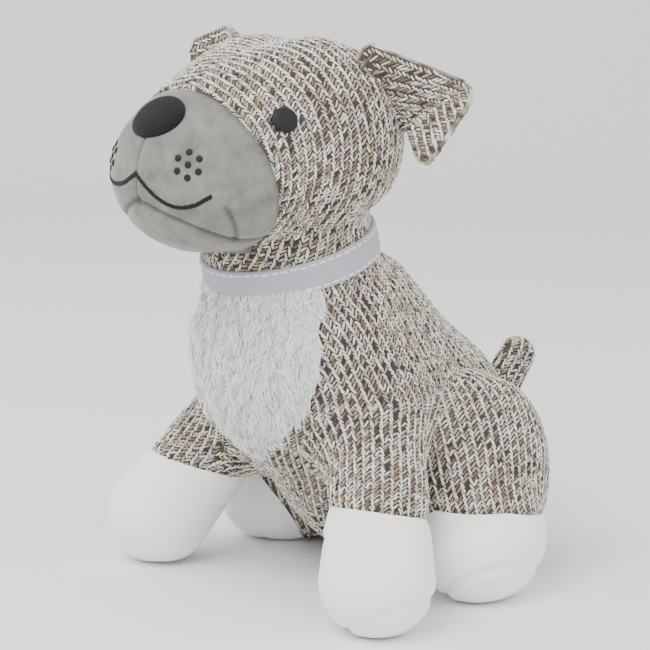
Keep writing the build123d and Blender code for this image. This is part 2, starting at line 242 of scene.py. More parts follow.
def head_field(p):
    q = mirrored(p)
    skull = egg(q, (20, -3, 230), (39, 48, 48))
    skull = join(skull, egg(q, (0, -4, 228), (52, 52, 46)), 10)
    snout = egg(q, (0, -50, 217.5), (51, 45.5, 39.5), 12)
    snout = join(snout, egg(q, (0, -38, 240), (38, 34, 26), 20), 14)
    whole = join(skull, snout, 16)
    near = ramp(along_neck(p), 8, 26)
    return round_neck(p) * (1 - near) + whole * near


def muzzle_edge(p):
    """Below zero in front of the seam round the muzzle."""
    face = 0.945 * p[:, 1] + 0.329 * p[:, 2] - MUZZLE_EDGE
    return np.maximum(face, CHIN_LIMIT - along_neck(p))


def chin_edge(p):
    """Below zero under the seam of the chin."""
    fall = 0.30 * (np.abs(p[:, 0]) + np.minimum(p[:, 1], -62) + 94)
    return p[:, 2] - (206 - fall)


BIB_OUTLINE = ((0, 71), (16, 80), (28, 90), (35, 96), (40, 103), (44, 112), (46, 122),
               (46, 131), (44, 140), (41, 153), (37, 168), (30, 200), (0, 200))


def bib_edge(p):
    """Below zero inside the heart-shaped bib of the chest."""
    q = np.stack([np.abs(p[:, 0]), p[:, 2]], -1)
    corners = np.array(BIB_OUTLINE, float)
    nearest = np.full(len(q), 1e9)
    inside = np.zeros(len(q), bool)
    for a, b in zip(corners, np.roll(corners, -1, axis=0)):
        run = b - a
        if not (a[0] == 0 and b[0] == 0):
            t = np.clip((q - a) @ run / (run @ run), 0, 1)
            nearest = np.minimum(nearest, np.linalg.norm(q - a - t[:, None] * run, axis=1))
        crosses = (a[1] > q[:, 1]) != (b[1] > q[:, 1])
        at = a[0] + (q[:, 1] - a[1]) * run[0] / (run[1] if run[1] else 1e-9)
        inside ^= crosses & (q[:, 0] < at)
    flat = np.where(inside, -nearest, nearest)
    return np.maximum(flat, p[:, 1] - 6)


def forepaw_edge(p):
    """Below zero on the white end of a foreleg."""
    return (mirrored(p) - point(65, -31, 60.5)) @ point(-0.12, 0.30, 1.0)


def hindpaw_edge(p):
    """Below zero on the white foot of a hind leg."""
    q = mirrored(p)
    top = q[:, 2] - (47.5 - 0.22 * np.maximum(q[:, 1] - 56, 0))
    return np.maximum(top, hindpaw_field(p) - haunch_field(p) - PAW_TAKES_OVER)


def sole_edge(p, centre, normal, depth):
    return depth - (mirrored(p) - point(*centre)) @ point(*normal)


def forepaw_sole(p):
    return sole_edge(p, (83, -19, 27), (0.45, 0.05, -0.89), 18)


def hindpaw_sole(p):
    return sole_edge(p, (76, 53, 26), (0.55, -0.1, -0.83), 18)


def groove(distance, width, depth):
    """How far cloth is drawn in by a seam at a distance."""
    return -depth * np.exp(-(distance / width) ** 2)


# ------------------------------------------------------------------------------------------
# Meshes from fields
# ------------------------------------------------------------------------------------------
def halves(quads):
    return np.concatenate([quads[:, [0, 1, 2]], quads[:, [0, 2, 3]]])


def net(field, low, high, cell):
    """Triangles near the zero of a field, pulled on to it."""
    low = np.array(low, float)
    size = np.ceil((np.array(high) - low) / cell).astype(int) + 1
    axes = [low[i] + cell * np.arange(size[i]) for i in range(3)]
    grid = np.stack(np.meshgrid(*axes, indexing="ij"), -1)
    value = field(grid.reshape(-1, 3)).reshape(size)
    corners = [(i, j, k) for i in (0, 1) for j in (0, 1) for k in (0, 1)]

    def shifted(array, corner):
        return array[tuple(slice(c, n - 1 + c) for c, n in zip(corner, size))]

    inside = value < 0
    count = sum(shifted(inside, c).astype(int) for c in corners)
    active = (count > 0) & (count < 8)
    total = np.zeros(active.shape + (3,))
    hits = np.zeros(active.shape)
    for corner in corners:
        for axis in range(3):
            if corner[axis]:
                continue
            other = tuple(1 if i == axis else corner[i] for i in range(3))
            a, b = shifted(value, corner), shifted(value, other)
            cross = (a < 0) != (b < 0)
            where = np.zeros(active.shape + (3,))
            where[:] = corner
            where[..., axis] = np.where(cross, a / np.where(cross, a - b, 1), 0)
            total += np.where(cross[..., None], where, 0)
            hits += cross
    index = -np.ones(active.shape, int)
    index[active] = np.arange(active.sum())
    verts = low + cell * (np.stack(np.nonzero(active), -1) + total[active] / hits[active][:, None])
    quads = []
    for axis in range(3):
        others = [i for i in range(3) if i != axis]
        first, second = [slice(None)] * 3, [slice(None)] * 3
        first[axis], second[axis] = slice(0, size[axis] - 1), slice(1, size[axis])
        a, b = inside[tuple(first)], inside[tuple(second)]
        inner = np.zeros_like(a)
        keep = [slice(None)] * 3
        for i in others:
            keep[i] = slice(1, size[i] - 1)
        inner[tuple(keep)] = True
        at = np.stack(np.nonzero((a != b) & inner), -1)
        ring = []
        for d0, d1 in ((0, 0), (1, 0), (1, 1), (0, 1)):
            c = at.copy()
            c[:, others[0]] -= d0
            c[:, others[1]] -= d1
            ring.append(index[tuple(c.T)])
        ring = np.stack(ring, -1)
        turned = a[tuple(at.T)] if axis != 1 else ~a[tuple(at.T)]
        quads.append(np.where(turned[:, None], ring, ring[:, ::-1]))
    return settle(field, verts, 4), halves(np.concatenate(quads))


def slope(field, v, h=0.05):
    """Unit normals of a field, and its steepness."""
    g = np.stack([field(v + h * e) - field(v - h * e) for e in np.eye(3)], -1) / (2 * h)
    size = np.maximum(np.linalg.norm(g, axis=1), 1e-6)
    return g / size[:, None], size


def normals(field, v):
    return slope(field, v)[0]


def settle(field, v, steps=2):
    """Points moved on to the zero of a field."""
    for _ in range(steps):
        n, size = slope(field, v)
        v = v - n * np.clip(field(v) / size, -3, 3)[:, None]
    return v


def compact(verts, tris):
    used, tris = np.unique(tris, return_inverse=True)
    return verts[used], tris.reshape(-1, 3)


def cut(mesh, edge):
    """The part of a mesh where edge is below zero, cut exactly along it."""
    verts, tris = mesh
    side = edge(verts)
    side = np.where(np.abs(side) < 1e-4, -1e-4, side)
    low = side < 0
    count = low[tris].sum(1)
    kept = [tris[count == 3]]
    pairs = {}
    added = []

    def between(a, b):
        key = (a, b) if a < b else (b, a)
        if key not in pairs:
            t = side[key[0]] / (side[key[0]] - side[key[1]])
            pairs[key] = len(verts) + len(added)
            added.append(verts[key[0]] * (1 - t) + verts[key[1]] * t)
        return pairs[key]

    made = []
    for tri in tris[(count > 0) & (count < 3)]:
        lows = [i for i in range(3) if low[tri[i]]]
        if len(lows) == 1:
            a, b, c = (int(tri[(lows[0] + i) % 3]) for i in range(3))
            made.append((a, between(a, b), between(a, c)))
        else:
            high = 3 - sum(lows)
            a, b, c = (int(tri[(high + i) % 3]) for i in range(3))
            ab, ac = between(a, b), between(a, c)
            made += [(ab, b, c), (ab, c, ac)]
    if made:
        kept.append(np.array(made, int))
        verts = np.concatenate([verts, np.array(added)])
    return compact(verts, np.concatenate(kept))


def shell(field, low, high, cell, *edges):
    """Mesh of a field inside a box, cut along each edge."""
    mesh = net(field, low, high, cell)
    for edge in edges:
        mesh = cut(mesh, edge)
    return mesh


def half_of(mesh, side):
    """The half of a mesh on one side of the dog."""
    return cut(mesh, lambda p: -side * p[:, 0])


def at_corners(tris, values, count):
    """Sum at each vertex of what its faces carry."""
    total = np.zeros((count,) + values.shape[1:])
    for i in range(3):
        np.add.at(total, tris[:, i], values)
    return total


def vertex_normals(verts, tris):
    a, b, c = (verts[tris[:, i]] for i in range(3))
    return unit(at_corners(tris, np.cross(b - a, c - a), len(verts)))


def corner_angles(tris, local, n):
    """Cotangent weights of a mesh, as a matrix and for each edge of each face."""
    stiff = np.zeros((n, n))
    edges = []
    for k in range(3):
        i, j = (k + 1) % 3, (k + 2) % 3
        a, b = local[:, i] - local[:, k], local[:, j] - local[:, k]
        weight = np.clip((a * b).sum(1) / np.maximum(turn_of(a, b), 1e-6), 0.02, 20) / 2
        vi, vj = tris[:, i], tris[:, j]
        for row, column, sign in ((vi, vi, 1), (vj, vj, 1), (vi, vj, -1), (vj, vi, -1)):
            np.add.at(stiff, (row, column), sign * weight)
        edges.append((vi, vj, weight, local[:, i] - local[:, j]))
    return stiff, edges


def flatten(verts, tris, up):
    """Flat pattern of an open panel in millimetres, turned so that up runs along +v."""
    n = len(verts)
    e, f = verts[tris[:, 1]] - verts[tris[:, 0]], verts[tris[:, 2]] - verts[tris[:, 0]]
    ex = unit(e)
    ey = unit(np.cross(np.cross(e, f), ex))
    local = np.zeros((len(tris), 3, 2))
    local[:, 1, 0] = (e * ex).sum(1)
    local[:, 2] = np.stack([(f * ex).sum(1), (f * ey).sum(1)], -1)
    stiff, edges = corner_angles(tris, local, n)
    area = np.zeros((n, n))
    for k in range(3):
        a, b = tris[:, k], tris[:, (k + 1) % 3]
        np.add.at(area, (a, b), 0.5)
        np.add.at(area, (b, a), -0.5)
    whole = np.block([[stiff, -area], [-area.T, stiff]])
    ends = [int(np.argmin(verts @ up)), int(np.argmax(verts @ up))]
    held = np.array(ends + [n + ends[0], n + ends[1]])
    span = np.linalg.norm(verts[ends[1]] - verts[ends[0]])
    fixed = np.array([0, 0, 0, span])
    free = np.setdiff1d(np.arange(2 * n), held)
    found = np.zeros(2 * n)
    found[held] = fixed
    found[free] = np.linalg.solve(whole[np.ix_(free, free)], -whole[np.ix_(free, held)] @ fixed)
    uv = np.stack([found[:n], found[n:]], -1)
    inverse = np.linalg.inv(stiff[1:, 1:])
    for _ in range(FLATTEN_ROUNDS):
        spin = np.zeros((len(tris), 2))
        for vi, vj, weight, rest in edges:
            now = uv[vi] - uv[vj]
            spin[:, 0] += weight * (now * rest).sum(1)
            spin[:, 1] += weight * turn_of(rest, now)
        spin = unit(spin, 1e-12)
        push = np.zeros((n, 2))
        for vi, vj, weight, rest in edges:
            turned = np.stack([spin[:, 0] * rest[:, 0] - spin[:, 1] * rest[:, 1],
                               spin[:, 1] * rest[:, 0] + spin[:, 0] * rest[:, 1]], -1)
            turned *= weight[:, None]
            np.add.at(push, vi, turned)
            np.add.at(push, vj, -turned)
        uv[0] = 0
        uv[1:] = inverse @ push[1:]
    tu, tv, weight = face_tangents(verts, tris, uv)
    want = np.stack([tu @ up, tv @ up], -1) * weight[:, None]
    heading = math.atan2(want[:, 0].sum(), want[:, 1].sum())
    c, s = math.cos(heading), math.sin(heading)
    return uv @ np.array([[c, s], [-s, c]])


def finer(verts, tris, uv):
    """Each face in four, with its flat pattern."""
    pairs = np.sort(np.concatenate([tris[:, [0, 1]], tris[:, [1, 2]], tris[:, [2, 0]]]), axis=1)
    edges, index = np.unique(pairs, axis=0, return_inverse=True)
    ab, bc, ca = (index.reshape(3, -1) + len(verts))
    a, b, c = tris.T
    tris = np.concatenate([np.stack(t, -1) for t in
                           ((a, ab, ca), (ab, b, bc), (ca, bc, c), (ab, bc, ca))])
    return (np.concatenate([verts, verts[edges].mean(1)]), tris,
            np.concatenate([uv, uv[edges].mean(1)]))


def face_tangents(verts, tris, uv):
    """How each face's surface runs along u and v, and the face's area."""
    p1, p2 = verts[tris[:, 1]] - verts[tris[:, 0]], verts[tris[:, 2]] - verts[tris[:, 0]]
    e1, e2 = uv[tris[:, 1]] - uv[tris[:, 0]], uv[tris[:, 2]] - uv[tris[:, 0]]
    turn = not_zero(turn_of(e1, e2), 1e-6)
    tu = (p1 * e2[:, 1:] - p2 * e1[:, 1:]) / turn[:, None]
    tv = (p2 * e1[:, :1] - p1 * e2[:, :1]) / turn[:, None]
    return tu, tv, np.linalg.norm(np.cross(p1, p2), axis=1) / 2


def stitch_sites(verts, tris, uv, wale, row, shift=(0.0, 0.0)):
    """Where the stitches of a knit lie: place, normal, and the surface's run along u and v."""
    tu, tv, weight = face_tangents(verts, tris, uv)
    sums = at_corners(tris, np.concatenate([tu, tv], 1) * weight[:, None], len(verts))
    sums /= np.maximum(at_corners(tris, weight, len(verts)), 1e-9)[:, None]
    flat = np.concatenate([uv, np.zeros((len(uv), 1))], 1)
    tree = BVHTree.FromPolygons(flat.tolist(), tris.tolist())
    low, high = uv.min(0), uv.max(0)
    us = np.arange(math.floor(low[0] / wale), math.ceil(high[0] / wale) + 1) + shift[0]
    vs = np.arange(math.floor(low[1] / row), math.ceil(high[1] / row) + 1) + shift[1]
    spots, faces = [], []
    for u in us * wale:
        for v in vs * row:
            hit = tree.ray_cast(Vector((u, v, 1)), Vector((0, 0, -1)), 2)
            if hit[2] is not None:
                spots.append((u, v))
                faces.append(hit[2])
    spots, faces = np.array(spots), np.array(faces)
    tri = tris[faces]
    a, b, c = (uv[tri[:, i]] for i in range(3))
    e1, e2, q = b - a, c - a, spots - a
    turn = not_zero(turn_of(e1, e2), 1e-9)
    s = np.clip(turn_of(q, e2) / turn, 0, 1)
    t = np.clip(turn_of(e1, q) / turn, 0, 1)
    mix = np.stack([1 - s - t, s, t], -1)[..., None]
    place = (verts[tri] * mix).sum(1)
    runs = (sums[tri] * mix).sum(1)
    normal = unit((vertex_normals(verts, tris)[tri] * mix).sum(1))
    return place, normal, runs[:, :3], runs[:, 3:]


def yarn_colours(rng, count, light_side):
    """Mottled wool: mostly pale on one arm of each stitch, mostly dark on the other."""
    knit = bpy.context.scene.dog_knit
    pale = np.array([knit.cream, knit.oat, knit.ash])
    deep = np.array([knit.tan, knit.brown, knit.ash, knit.charcoal, knit.oat, knit.cream])
    if light_side:
        pick = pale[rng.choice(3, count, p=(0.66, 0.20, 0.14))]
    else:
        pick = deep[rng.choice(6, count, p=(0.24, 0.16, 0.14, 0.10, 0.16, 0.20))]
    pick = pick * rng.uniform(0.78, 1.12, (count, 1))
    rare = rng.random(count) < 0.0006
    pick[rare] = np.array(knit.fleck)
    return np.clip(pick, 0, 1)


STATIONS = 5             # places along a yarn, and points across it
ACROSS = 4


def knit_yarns(sites, field, offset, rng, swapped=False, reach=None):
    """Two slanting arms of yarn for each stitch, as arched strips."""
    knit = bpy.context.scene.dog_knit
    wale, thick = knit.wale / MM, knit.yarn / MM
    place, normal, tu, tv = sites
    count = len(place)
    along = np.linspace(0, 1, STATIONS)
    parts, tints, mids = [], [], []
    for arm in (-1, 1):
        pale = (arm < 0) != swapped
        length = knit.float_length / MM * rng.uniform(0.85, 1.15, count)
        lean = wale * (0.36 if pale else 0.50) * rng.uniform(0.8, 1.15, count)
        rise = np.sqrt(np.maximum(length ** 2 - lean ** 2, 1)) * (1.0 if pale else 0.86)
        mid_u = arm * wale * (0.22 if pale else 0.26) + rng.normal(0, 0.18, count)
        mid_v = rng.normal(0, 0.2, count)
        width = thick * rng.uniform(0.8, 1.18, count)
        du = mid_u[:, None] + arm * lean[:, None] * (along - 0.5)
        dv = mid_v[:, None] + rise[:, None] * (along - 0.5)
        spine = place[:, None] + tu[:, None] * du[..., None] + tv[:, None] * dv[..., None]
        up = np.repeat(normal[:, None], STATIONS, 1)
        if field is not None:
            flat = spine.reshape(-1, 3)
            n, size = slope(field, flat)
            flat = flat - n * np.clip(field(flat) / size, -2, 2)[:, None]
            spine, up = flat.reshape(spine.shape), n.reshape(spine.shape)
        drawn = offset(spine.reshape(-1, 3)).reshape(count, STATIONS)
        arch = np.sin(np.pi * np.clip(along * 0.94 + 0.03, 0, 1)) ** 0.8
        height = drawn + thick * (0.62 * arch[None] * rng.uniform(0.85, 1.15, (count, 1)) - 0.22)
        side = unit(np.cross(np.gradient(spine, axis=1), up))
        girth = width[:, None] * (0.62 + 0.38 * arch[None])
        ring = []
        for angle in np.linspace(0.08, 0.92, ACROSS) * math.pi:
            out = math.cos(angle) * girth / 2
            lift = height + (math.sin(angle) - 0.55) * girth * 0.62
            ring.append(spine + side * out[..., None] + up * lift[..., None])
        parts.append(np.stack(ring, 2))
        tints.append(yarn_colours(rng, count, pale))
        mids.append(spine[:, STATIONS // 2])
    parts, tints, mids = (np.concatenate(x) for x in (parts, tints, mids))
    if reach is not None:
        keep = reach(mids)
        parts, tints, mids = parts[keep], tints[keep], mids[keep]
    return parts, tints, mids


def strip_faces(count, stations, across):
    """Triangles of many strips, each a grid of stations by points across."""
    i, j = np.meshgrid(np.arange(stations - 1), np.arange(across - 1), indexing="ij")
    a = (i * across + j).ravel()
    tris = halves(np.stack([a, a + 1, a + across + 1, a + across], -1))
    base = np.arange(count)[:, None, None] * stations * across
    return (tris[None] + base).reshape(-1, 3)


def strip_map(count, stations, across, top):
    """A small cell for each strip, in the bake map's part below top."""
    cells = max(1, math.ceil(math.sqrt(count / max(top, 1e-3))))
    rows = max(1, math.ceil(count / cells))
    i, j = np.meshgrid(np.linspace(0.15, 0.85, stations), np.linspace(0.15, 0.85, across),
                       indexing="ij")
    n = np.arange(count)
    u = (n % cells)[:, None] + i.ravel()
    v = (n // cells)[:, None] + j.ravel()
    return np.stack([u / cells, v / rows * top], -1).reshape(-1, 2)


class Piece:
    """Vertices, faces, tints and bake map of a piece while it is being put together."""

    def __init__(self):
        self.verts, self.tris, self.tints, self.maps = [], [], [], []
        self.count = 0

    def add(self, verts, tris, tint, bake):
        self.verts.append(verts)
        self.tris.append(tris + self.count)
        self.tints.append(np.broadcast_to(tint, (len(verts), 3)))
        self.maps.append(bake)
        self.count += len(verts)

    def add_yarns(self, parts, tints, top=YARN_BAND, base=0.0):
        """Strips, in a band of the bake map that is as high as top."""
        count, stations, across = parts.shape[:3]
        if not count:
            return
        each = np.repeat(tints, stations * across, 0)
        self.add(parts.reshape(-1, 3), strip_faces(count, stations, across), each,
                 strip_map(count, stations, across, top) + [0, base])

    def flip(self):
        """Mirror to the other side of the dog."""
        self.verts = [v * point(-1, 1, 1) for v in self.verts]
        self.tris = [t[:, ::-1] for t in self.tris]

    def make(self, name, material, replaced, rides=None):
        """The object, standing for the bodies' replaced nodes."""
        verts, tris = np.concatenate(self.verts), np.concatenate(self.tris)
        mesh = bpy.data.meshes.new(name)
        mesh.vertices.add(len(verts))
        mesh.vertices.foreach_set("co", ((verts + point(0, NECK_Y, 0)) * MM).ravel())
        mesh.loops.add(tris.size)
        mesh.loops.foreach_set("vertex_index", tris.ravel().astype(np.int32))
        mesh.polygons.add(len(tris))
        mesh.polygons.foreach_set("loop_start", np.arange(0, tris.size, 3, dtype=np.int32))
        mesh.polygons.foreach_set("use_smooth", np.ones(len(tris), bool))
        tint = np.concatenate([np.concatenate(self.tints), np.ones((len(verts), 1))], 1)
        colour = mesh.color_attributes.new("tint", "FLOAT_COLOR", "POINT")
        colour.data.foreach_set("color", tint.ravel().astype(np.float32))
        layer = mesh.uv_layers.new(name="OFBake")
        layer.uv.foreach_set("vector", np.concatenate(self.maps)[tris.ravel()].ravel())
        mesh.update(calc_edges=True)
        mesh.validate()
        mesh.materials.append(material)
        item = bpy.data.objects.new(name, mesh)
        bpy.context.scene.collection.objects.link(item)
        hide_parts(*replaced)
        if rides:
            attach(item, rides)
        return item


def panel_map(uv, low, high):
    """A panel's flat pattern, fitted into a band of the bake map."""
    span = uv.max(0) - uv.min(0)
    fitted = (uv - uv.min(0)) / max(span)
    return fitted * [0.98, (high - low) * 0.98] + [0.01, low + 0.005]


def lifted(field, verts, height):
    """Points moved out from a field's shape by a height for each."""
    return verts + normals(field, verts) * height[:, None]


def between_yarns(field, offset, verts):
    return lifted(field, verts, offset(verts) - GROUND_SINK)


def knit_panel(piece, mesh, field, offset, up, seed, swapped=False, reach=None, split=None):
    """Ground cloth and yarns of one knitted panel. split sends some of it to a second piece."""
    knit = bpy.context.scene.dog_knit
    verts, tris = mesh
    verts, tris, uv = finer(verts, tris, flatten(verts, tris, up))
    verts = settle(field, verts, 2)
    rng = np.random.default_rng(seed)
    sites = stitch_sites(verts, tris, uv, knit.wale / MM, knit.row / MM)
    parts, tints, mids = knit_yarns(sites, field, offset, rng, swapped, reach)
    if split is None:
        # the cloth under the yarns takes the ground colour, painted shade between the yarns
        piece.add(between_yarns(field, offset, verts), tris, knit.ground,
                  panel_map(uv, CLOTH_BAND, 1.0))
        piece.add_yarns(parts, tints)
        return
    edge, second = split
    beyond = edge(mids) > 0
    for target, sign, chosen in ((piece, 1, ~beyond), (second, -1, beyond)):
        v, t = cut((verts, tris), lambda p, s=sign: s * edge(p))
        flat = np.stack([v[:, 0] + v[:, 1], v[:, 2]], -1)
        # the cloth under the yarns takes the ground colour, painted shade between the yarns
        target.add(between_yarns(field, offset, v), t, knit.ground, panel_map(flat, CLOTH_BAND, 1.0))
        target.add_yarns(parts[chosen], tints[chosen])


def add_underside(piece, mesh):
    """Plain cloth that lies on the floor."""
    verts, tris = mesh
    # this cloth on the floor also takes the ground colour, painted shade
    piece.add(verts, tris, bpy.context.scene.dog_knit.ground, panel_map(verts[:, :2], 0.9, 1.0))


# ------------------------------------------------------------------------------------------
# Materials
# ------------------------------------------------------------------------------------------
class Shader:
    """Strings nodes together on a new material."""

    def __init__(self, name):
        self.material = bpy.data.materials.new(name)
        self.material.use_nodes = True
        self.nodes = self.material.node_tree.nodes
        self.links = self.material.node_tree.links
        self.surface = self.nodes["Principled BSDF"]
        self.place = self.node("ShaderNodeTexCoord", "Object", {})

    def node(self, kind, output, inputs, **settings):
        """One output of a new node, with the node's inputs linked or set."""
        made = self.nodes.new(kind)
        for name, value in settings.items():
            setattr(made, name, value)
        for name, value in inputs.items():
            if isinstance(value, bpy.types.NodeSocket):
                self.links.new(value, made.inputs[name])
            else:
                made.inputs[name].default_value = value
        return made.outputs[output]

    def finish(self, rough, sheen, sheen_rough=0.5):
        values = {"Roughness": rough, "Sheen Weight": sheen, "Sheen Roughness": sheen_rough,
                  "Specular IOR Level": 0.2}
        for name, value in values.items():
            self.surface.inputs[name].default_value = value

    def noise(self, size, detail=3.0, rough=0.6):
        """Noise with lumps of a size in metres."""
        return self.node("ShaderNodeTexNoise", "Fac", {
            "Vector": self.place, "Scale": 1 / size, "Detail": detail, "Roughness": rough})

    def spread(self, value, low, high, at=(0.3, 0.7)):
        return self.node("ShaderNodeMapRange", "Result", {
            "Value": value, "From Min": at[0], "From Max": at[1], "To Min": low, "To Max": high})

    def maths(self, operation, a, b):
        return self.node("ShaderNodeMath", "Value", {0: a, 1: b}, operation=operation)

    def shade(self, amount):
        """The piece's own colour, made lighter and darker by an amount about 1."""
        tint = self.node("ShaderNodeVertexColor", "Color", {}, layer_name="tint")
        shaded = self.node("ShaderNodeVectorMath", "Vector", {0: tint, "Scale": amount},
                           operation="SCALE")
        self.links.new(shaded, self.surface.inputs["Base Color"])

    def bump(self, height, distance):
        normal = self.node("ShaderNodeBump", "Normal", {
            "Height": height, "Distance": distance, "Strength": 1.0})
        self.links.new(normal, self.surface.inputs["Normal"])


def wool_material():
    shader = Shader("wool_yarn")
    shader.finish(0.92, 0.12)
    fibres = shader.noise(0.00035)
    shader.shade(shader.spread(fibres, 0.72, 1.22))
    shader.bump(fibres, 0.00025)
    return shader.material


def tinted_material(name, rough, sheen, grain, lift, low=0.9, high=1.06):
    """Cloth in the colour of its piece, with a fine grain."""
    shader = Shader(name)
    shader.finish(rough, sheen)
    grains = shader.noise(grain)
    shader.shade(shader.spread(grains, low, high))
    shader.bump(grains, lift)
    return shader.material


def thread_material():
    return tinted_material("black_thread", 0.5, 0.02, 0.0004, 0.00003, 0.8, 1.3)


def suede_material():
    """Short nap that lies this way and that, its sheen painted as lighter and darker patches."""
    shader = Shader("suede")
    shader.finish(0.88, 0.35, 0.4)
    # painted sheen: broad lighter and darker patches stand in for light on nap that lies different
    # ways
    nap_sheen = shader.spread(shader.noise(0.012, 6, 0.65), 0.74, 1.22, (0.35, 0.65))
    grain = shader.noise(0.0006)
    shader.shade(shader.maths("MULTIPLY", nap_sheen, shader.spread(grain, 0.90, 1.08)))
    shader.bump(grain, 0.00018)
    return shader.material


def plush_material():
    """Dense white pile with soft hollows."""
    shader = Shader("white_plush")
    shader.finish(0.95, 0.25)
    pile = shader.noise(0.0009)
    lumps = shader.noise(0.006, rough=0.55)
    shader.place = shader.node("ShaderNodeVectorMath", "Vector",
                               {0: shader.place, 1: (0.16, 0.16, 1.0)}, operation="MULTIPLY")
    creases = shader.noise(0.0011)
    amount = shader.maths("MULTIPLY", shader.spread(lumps, 0.95, 1.03),
                          shader.spread(pile, 0.93, 1.03))
    shader.shade(shader.maths("MULTIPLY", amount, shader.spread(creases, 0.93, 1.02)))
    height = shader.maths("ADD", shader.maths("ADD", pile, lumps), creases)
    shader.bump(height, 0.0009)
    return shader.material


# ------------------------------------------------------------------------------------------
# Settings
# ------------------------------------------------------------------------------------------
def colour(name, description, default):
    return FloatVectorProperty(name=name, description=description, subtype="COLOR",
                               min=0, max=1, default=default)


def length(name, description, default):
    return FloatProperty(name=name, description=description, default=default, min=0,
                         subtype="DISTANCE", unit="LENGTH")


class DogKnit(bpy.types.PropertyGroup):
    wale: length("Wale", "Width of one column of stitches", 0.0046)
    row: length("Row", "Height of one row of stitches", 0.0021)
    yarn: length("Yarn", "Thickness of the yarn", 0.00108)
    float_length: length("Arm", "Length of one arm of a stitch", 0.0036)
    cream: colour("Cream", "Palest yarn", (0.76, 0.73, 0.67))
    oat: colour("Oat", "Light brown yarn", (0.50, 0.43, 0.35))
    ash: colour("Ash", "Grey yarn", (0.38, 0.37, 0.35))
    tan: colour("Tan", "Tan yarn", (0.36, 0.27, 0.18))
    brown: colour("Brown", "Brown yarn", (0.19, 0.135, 0.095))
    charcoal: colour("Charcoal", "Darkest yarn", (0.05, 0.046, 0.045))
    fleck: colour("Fleck", "Rare bright fleck", (0.55, 0.16, 0.05))
    # painted shade: the ground colour is near black so that the cloth under the yarns shows as the
    # shade between them
    ground: colour("Ground", "Shade between the yarns", (0.075, 0.064, 0.055))


class DogTrim(bpy.types.PropertyGroup):
    white: colour("White", "Bib and paws", (0.86, 0.86, 0.85))
    suede: colour("Suede", "Muzzle", (0.190, 0.189, 0.168))
    felt: colour("Felt", "Nose", (0.006, 0.006, 0.007))
    thread: colour("Thread", "Eyes, dots and mouth", (0.012, 0.011, 0.013))
    ribbon: colour("Ribbon", "Collar", (0.42, 0.42, 0.47))
    running: colour("Stitches", "Running stitches on the collar", (0.85, 0.85, 0.86))
    ribbon_width: length("Collar width", "Width of the ribbon", 0.0150)
    strands: IntProperty(name="Strands", description="Hairs on the bib", default=15000,
                         min=100)
    strand_length: length("Strand length", "Length of a hair on the bib", 0.0085)
    eye_radius: length("Eye radius", "Radius of an eye", 0.0064)
    dot_radius: length("Dot radius", "Radius of a whisker dot", 0.0018)


class DogStage(bpy.types.PropertyGroup):
    floor: colour("Floor", "Floor and backdrop", (0.86, 0.86, 0.86))
    light: FloatProperty(name="Light", description="Strength of the main light", default=15.5,
                         min=0)
    fill: FloatProperty(name="Fill", description="Strength of the light all round",
                        default=1.35, min=0)
    distance: length("Camera distance", "From the camera to the dog", 1.026)
    lens: FloatProperty(name="Lens", description="Focal length", default=119.6, min=10,
                        unit="CAMERA")


# ------------------------------------------------------------------------------------------
# Pieces
# ------------------------------------------------------------------------------------------
def bend(item, bodies, start, end, side=1):
    """Cloth with its placement baked into its mesh."""
    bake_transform(item)


def trunk_top(p):
    """Below zero under the upper edge of the trunk's cloth."""
    return along_neck(p) - TRUNK_TOP


def above_floor(p):
    return p[:, 2] > STITCH_LOW_Z


def trunk_shows(p):
    """Where the trunk is neither inside a leg nor on the floor."""
    legs = np.minimum(foreleg_field(p) + 6 * (p[:, 2] > 80), hind_field(p))
    return (legs > -7) & above_floor(p)


def trunk_offset(p):
    drawn = groove(p[:, 0], 2.2, 1.3) * ramp(p[:, 1], 0, 20)
    drawn += groove(bib_edge(p), 2.5, 0.8) + groove(p[:, 2] - 2, 3, 0.6)
    drawn += groove(foreleg_top_edge(p), 2.0, 0.9) * (p[:, 2] > 90)
    return drawn


def foreleg_top_edge(p):
    """Height above the seam across the top of a foreleg, far away from the leg."""
    near = foreleg_field(p) < body_field(p) + 12
    return np.where(near, p[:, 2] - FORELEG_SEAM_Z, 1e3)


def build_trunk():
    wool = wool_material()
    whole = shell(trunk_field, (-70, -52, -8), (70, 154, 188), 6.6, trunk_top)
    for name, side in SIDES:
        cloth = cut(half_of(whole, side), lambda p: -bib_edge(p))
        walls = cut(cloth, lambda p: SEAT_Z - p[:, 2])
        piece = Piece()
        knit_panel(piece, walls, trunk_field, trunk_offset, NECK_AXIS, 11 + side,
                   reach=trunk_shows)
        add_underside(piece, cut(cloth, lambda p: p[:, 2] - SEAT_Z))
        inside = ["torso_stuffing", "pellet_bag", "seat_panel"] if side > 0 else []
        piece.make(f"trunk_cloth_{name}", wool, [f"torso_cover_{name}"] + inside,
                   "torso")


BIB_TUFTS = 420
BIB_LIFT = 0.4
HAIR_GIRTHS = np.array([0.42, 0.42, 0.36, 0.26, 0.04])


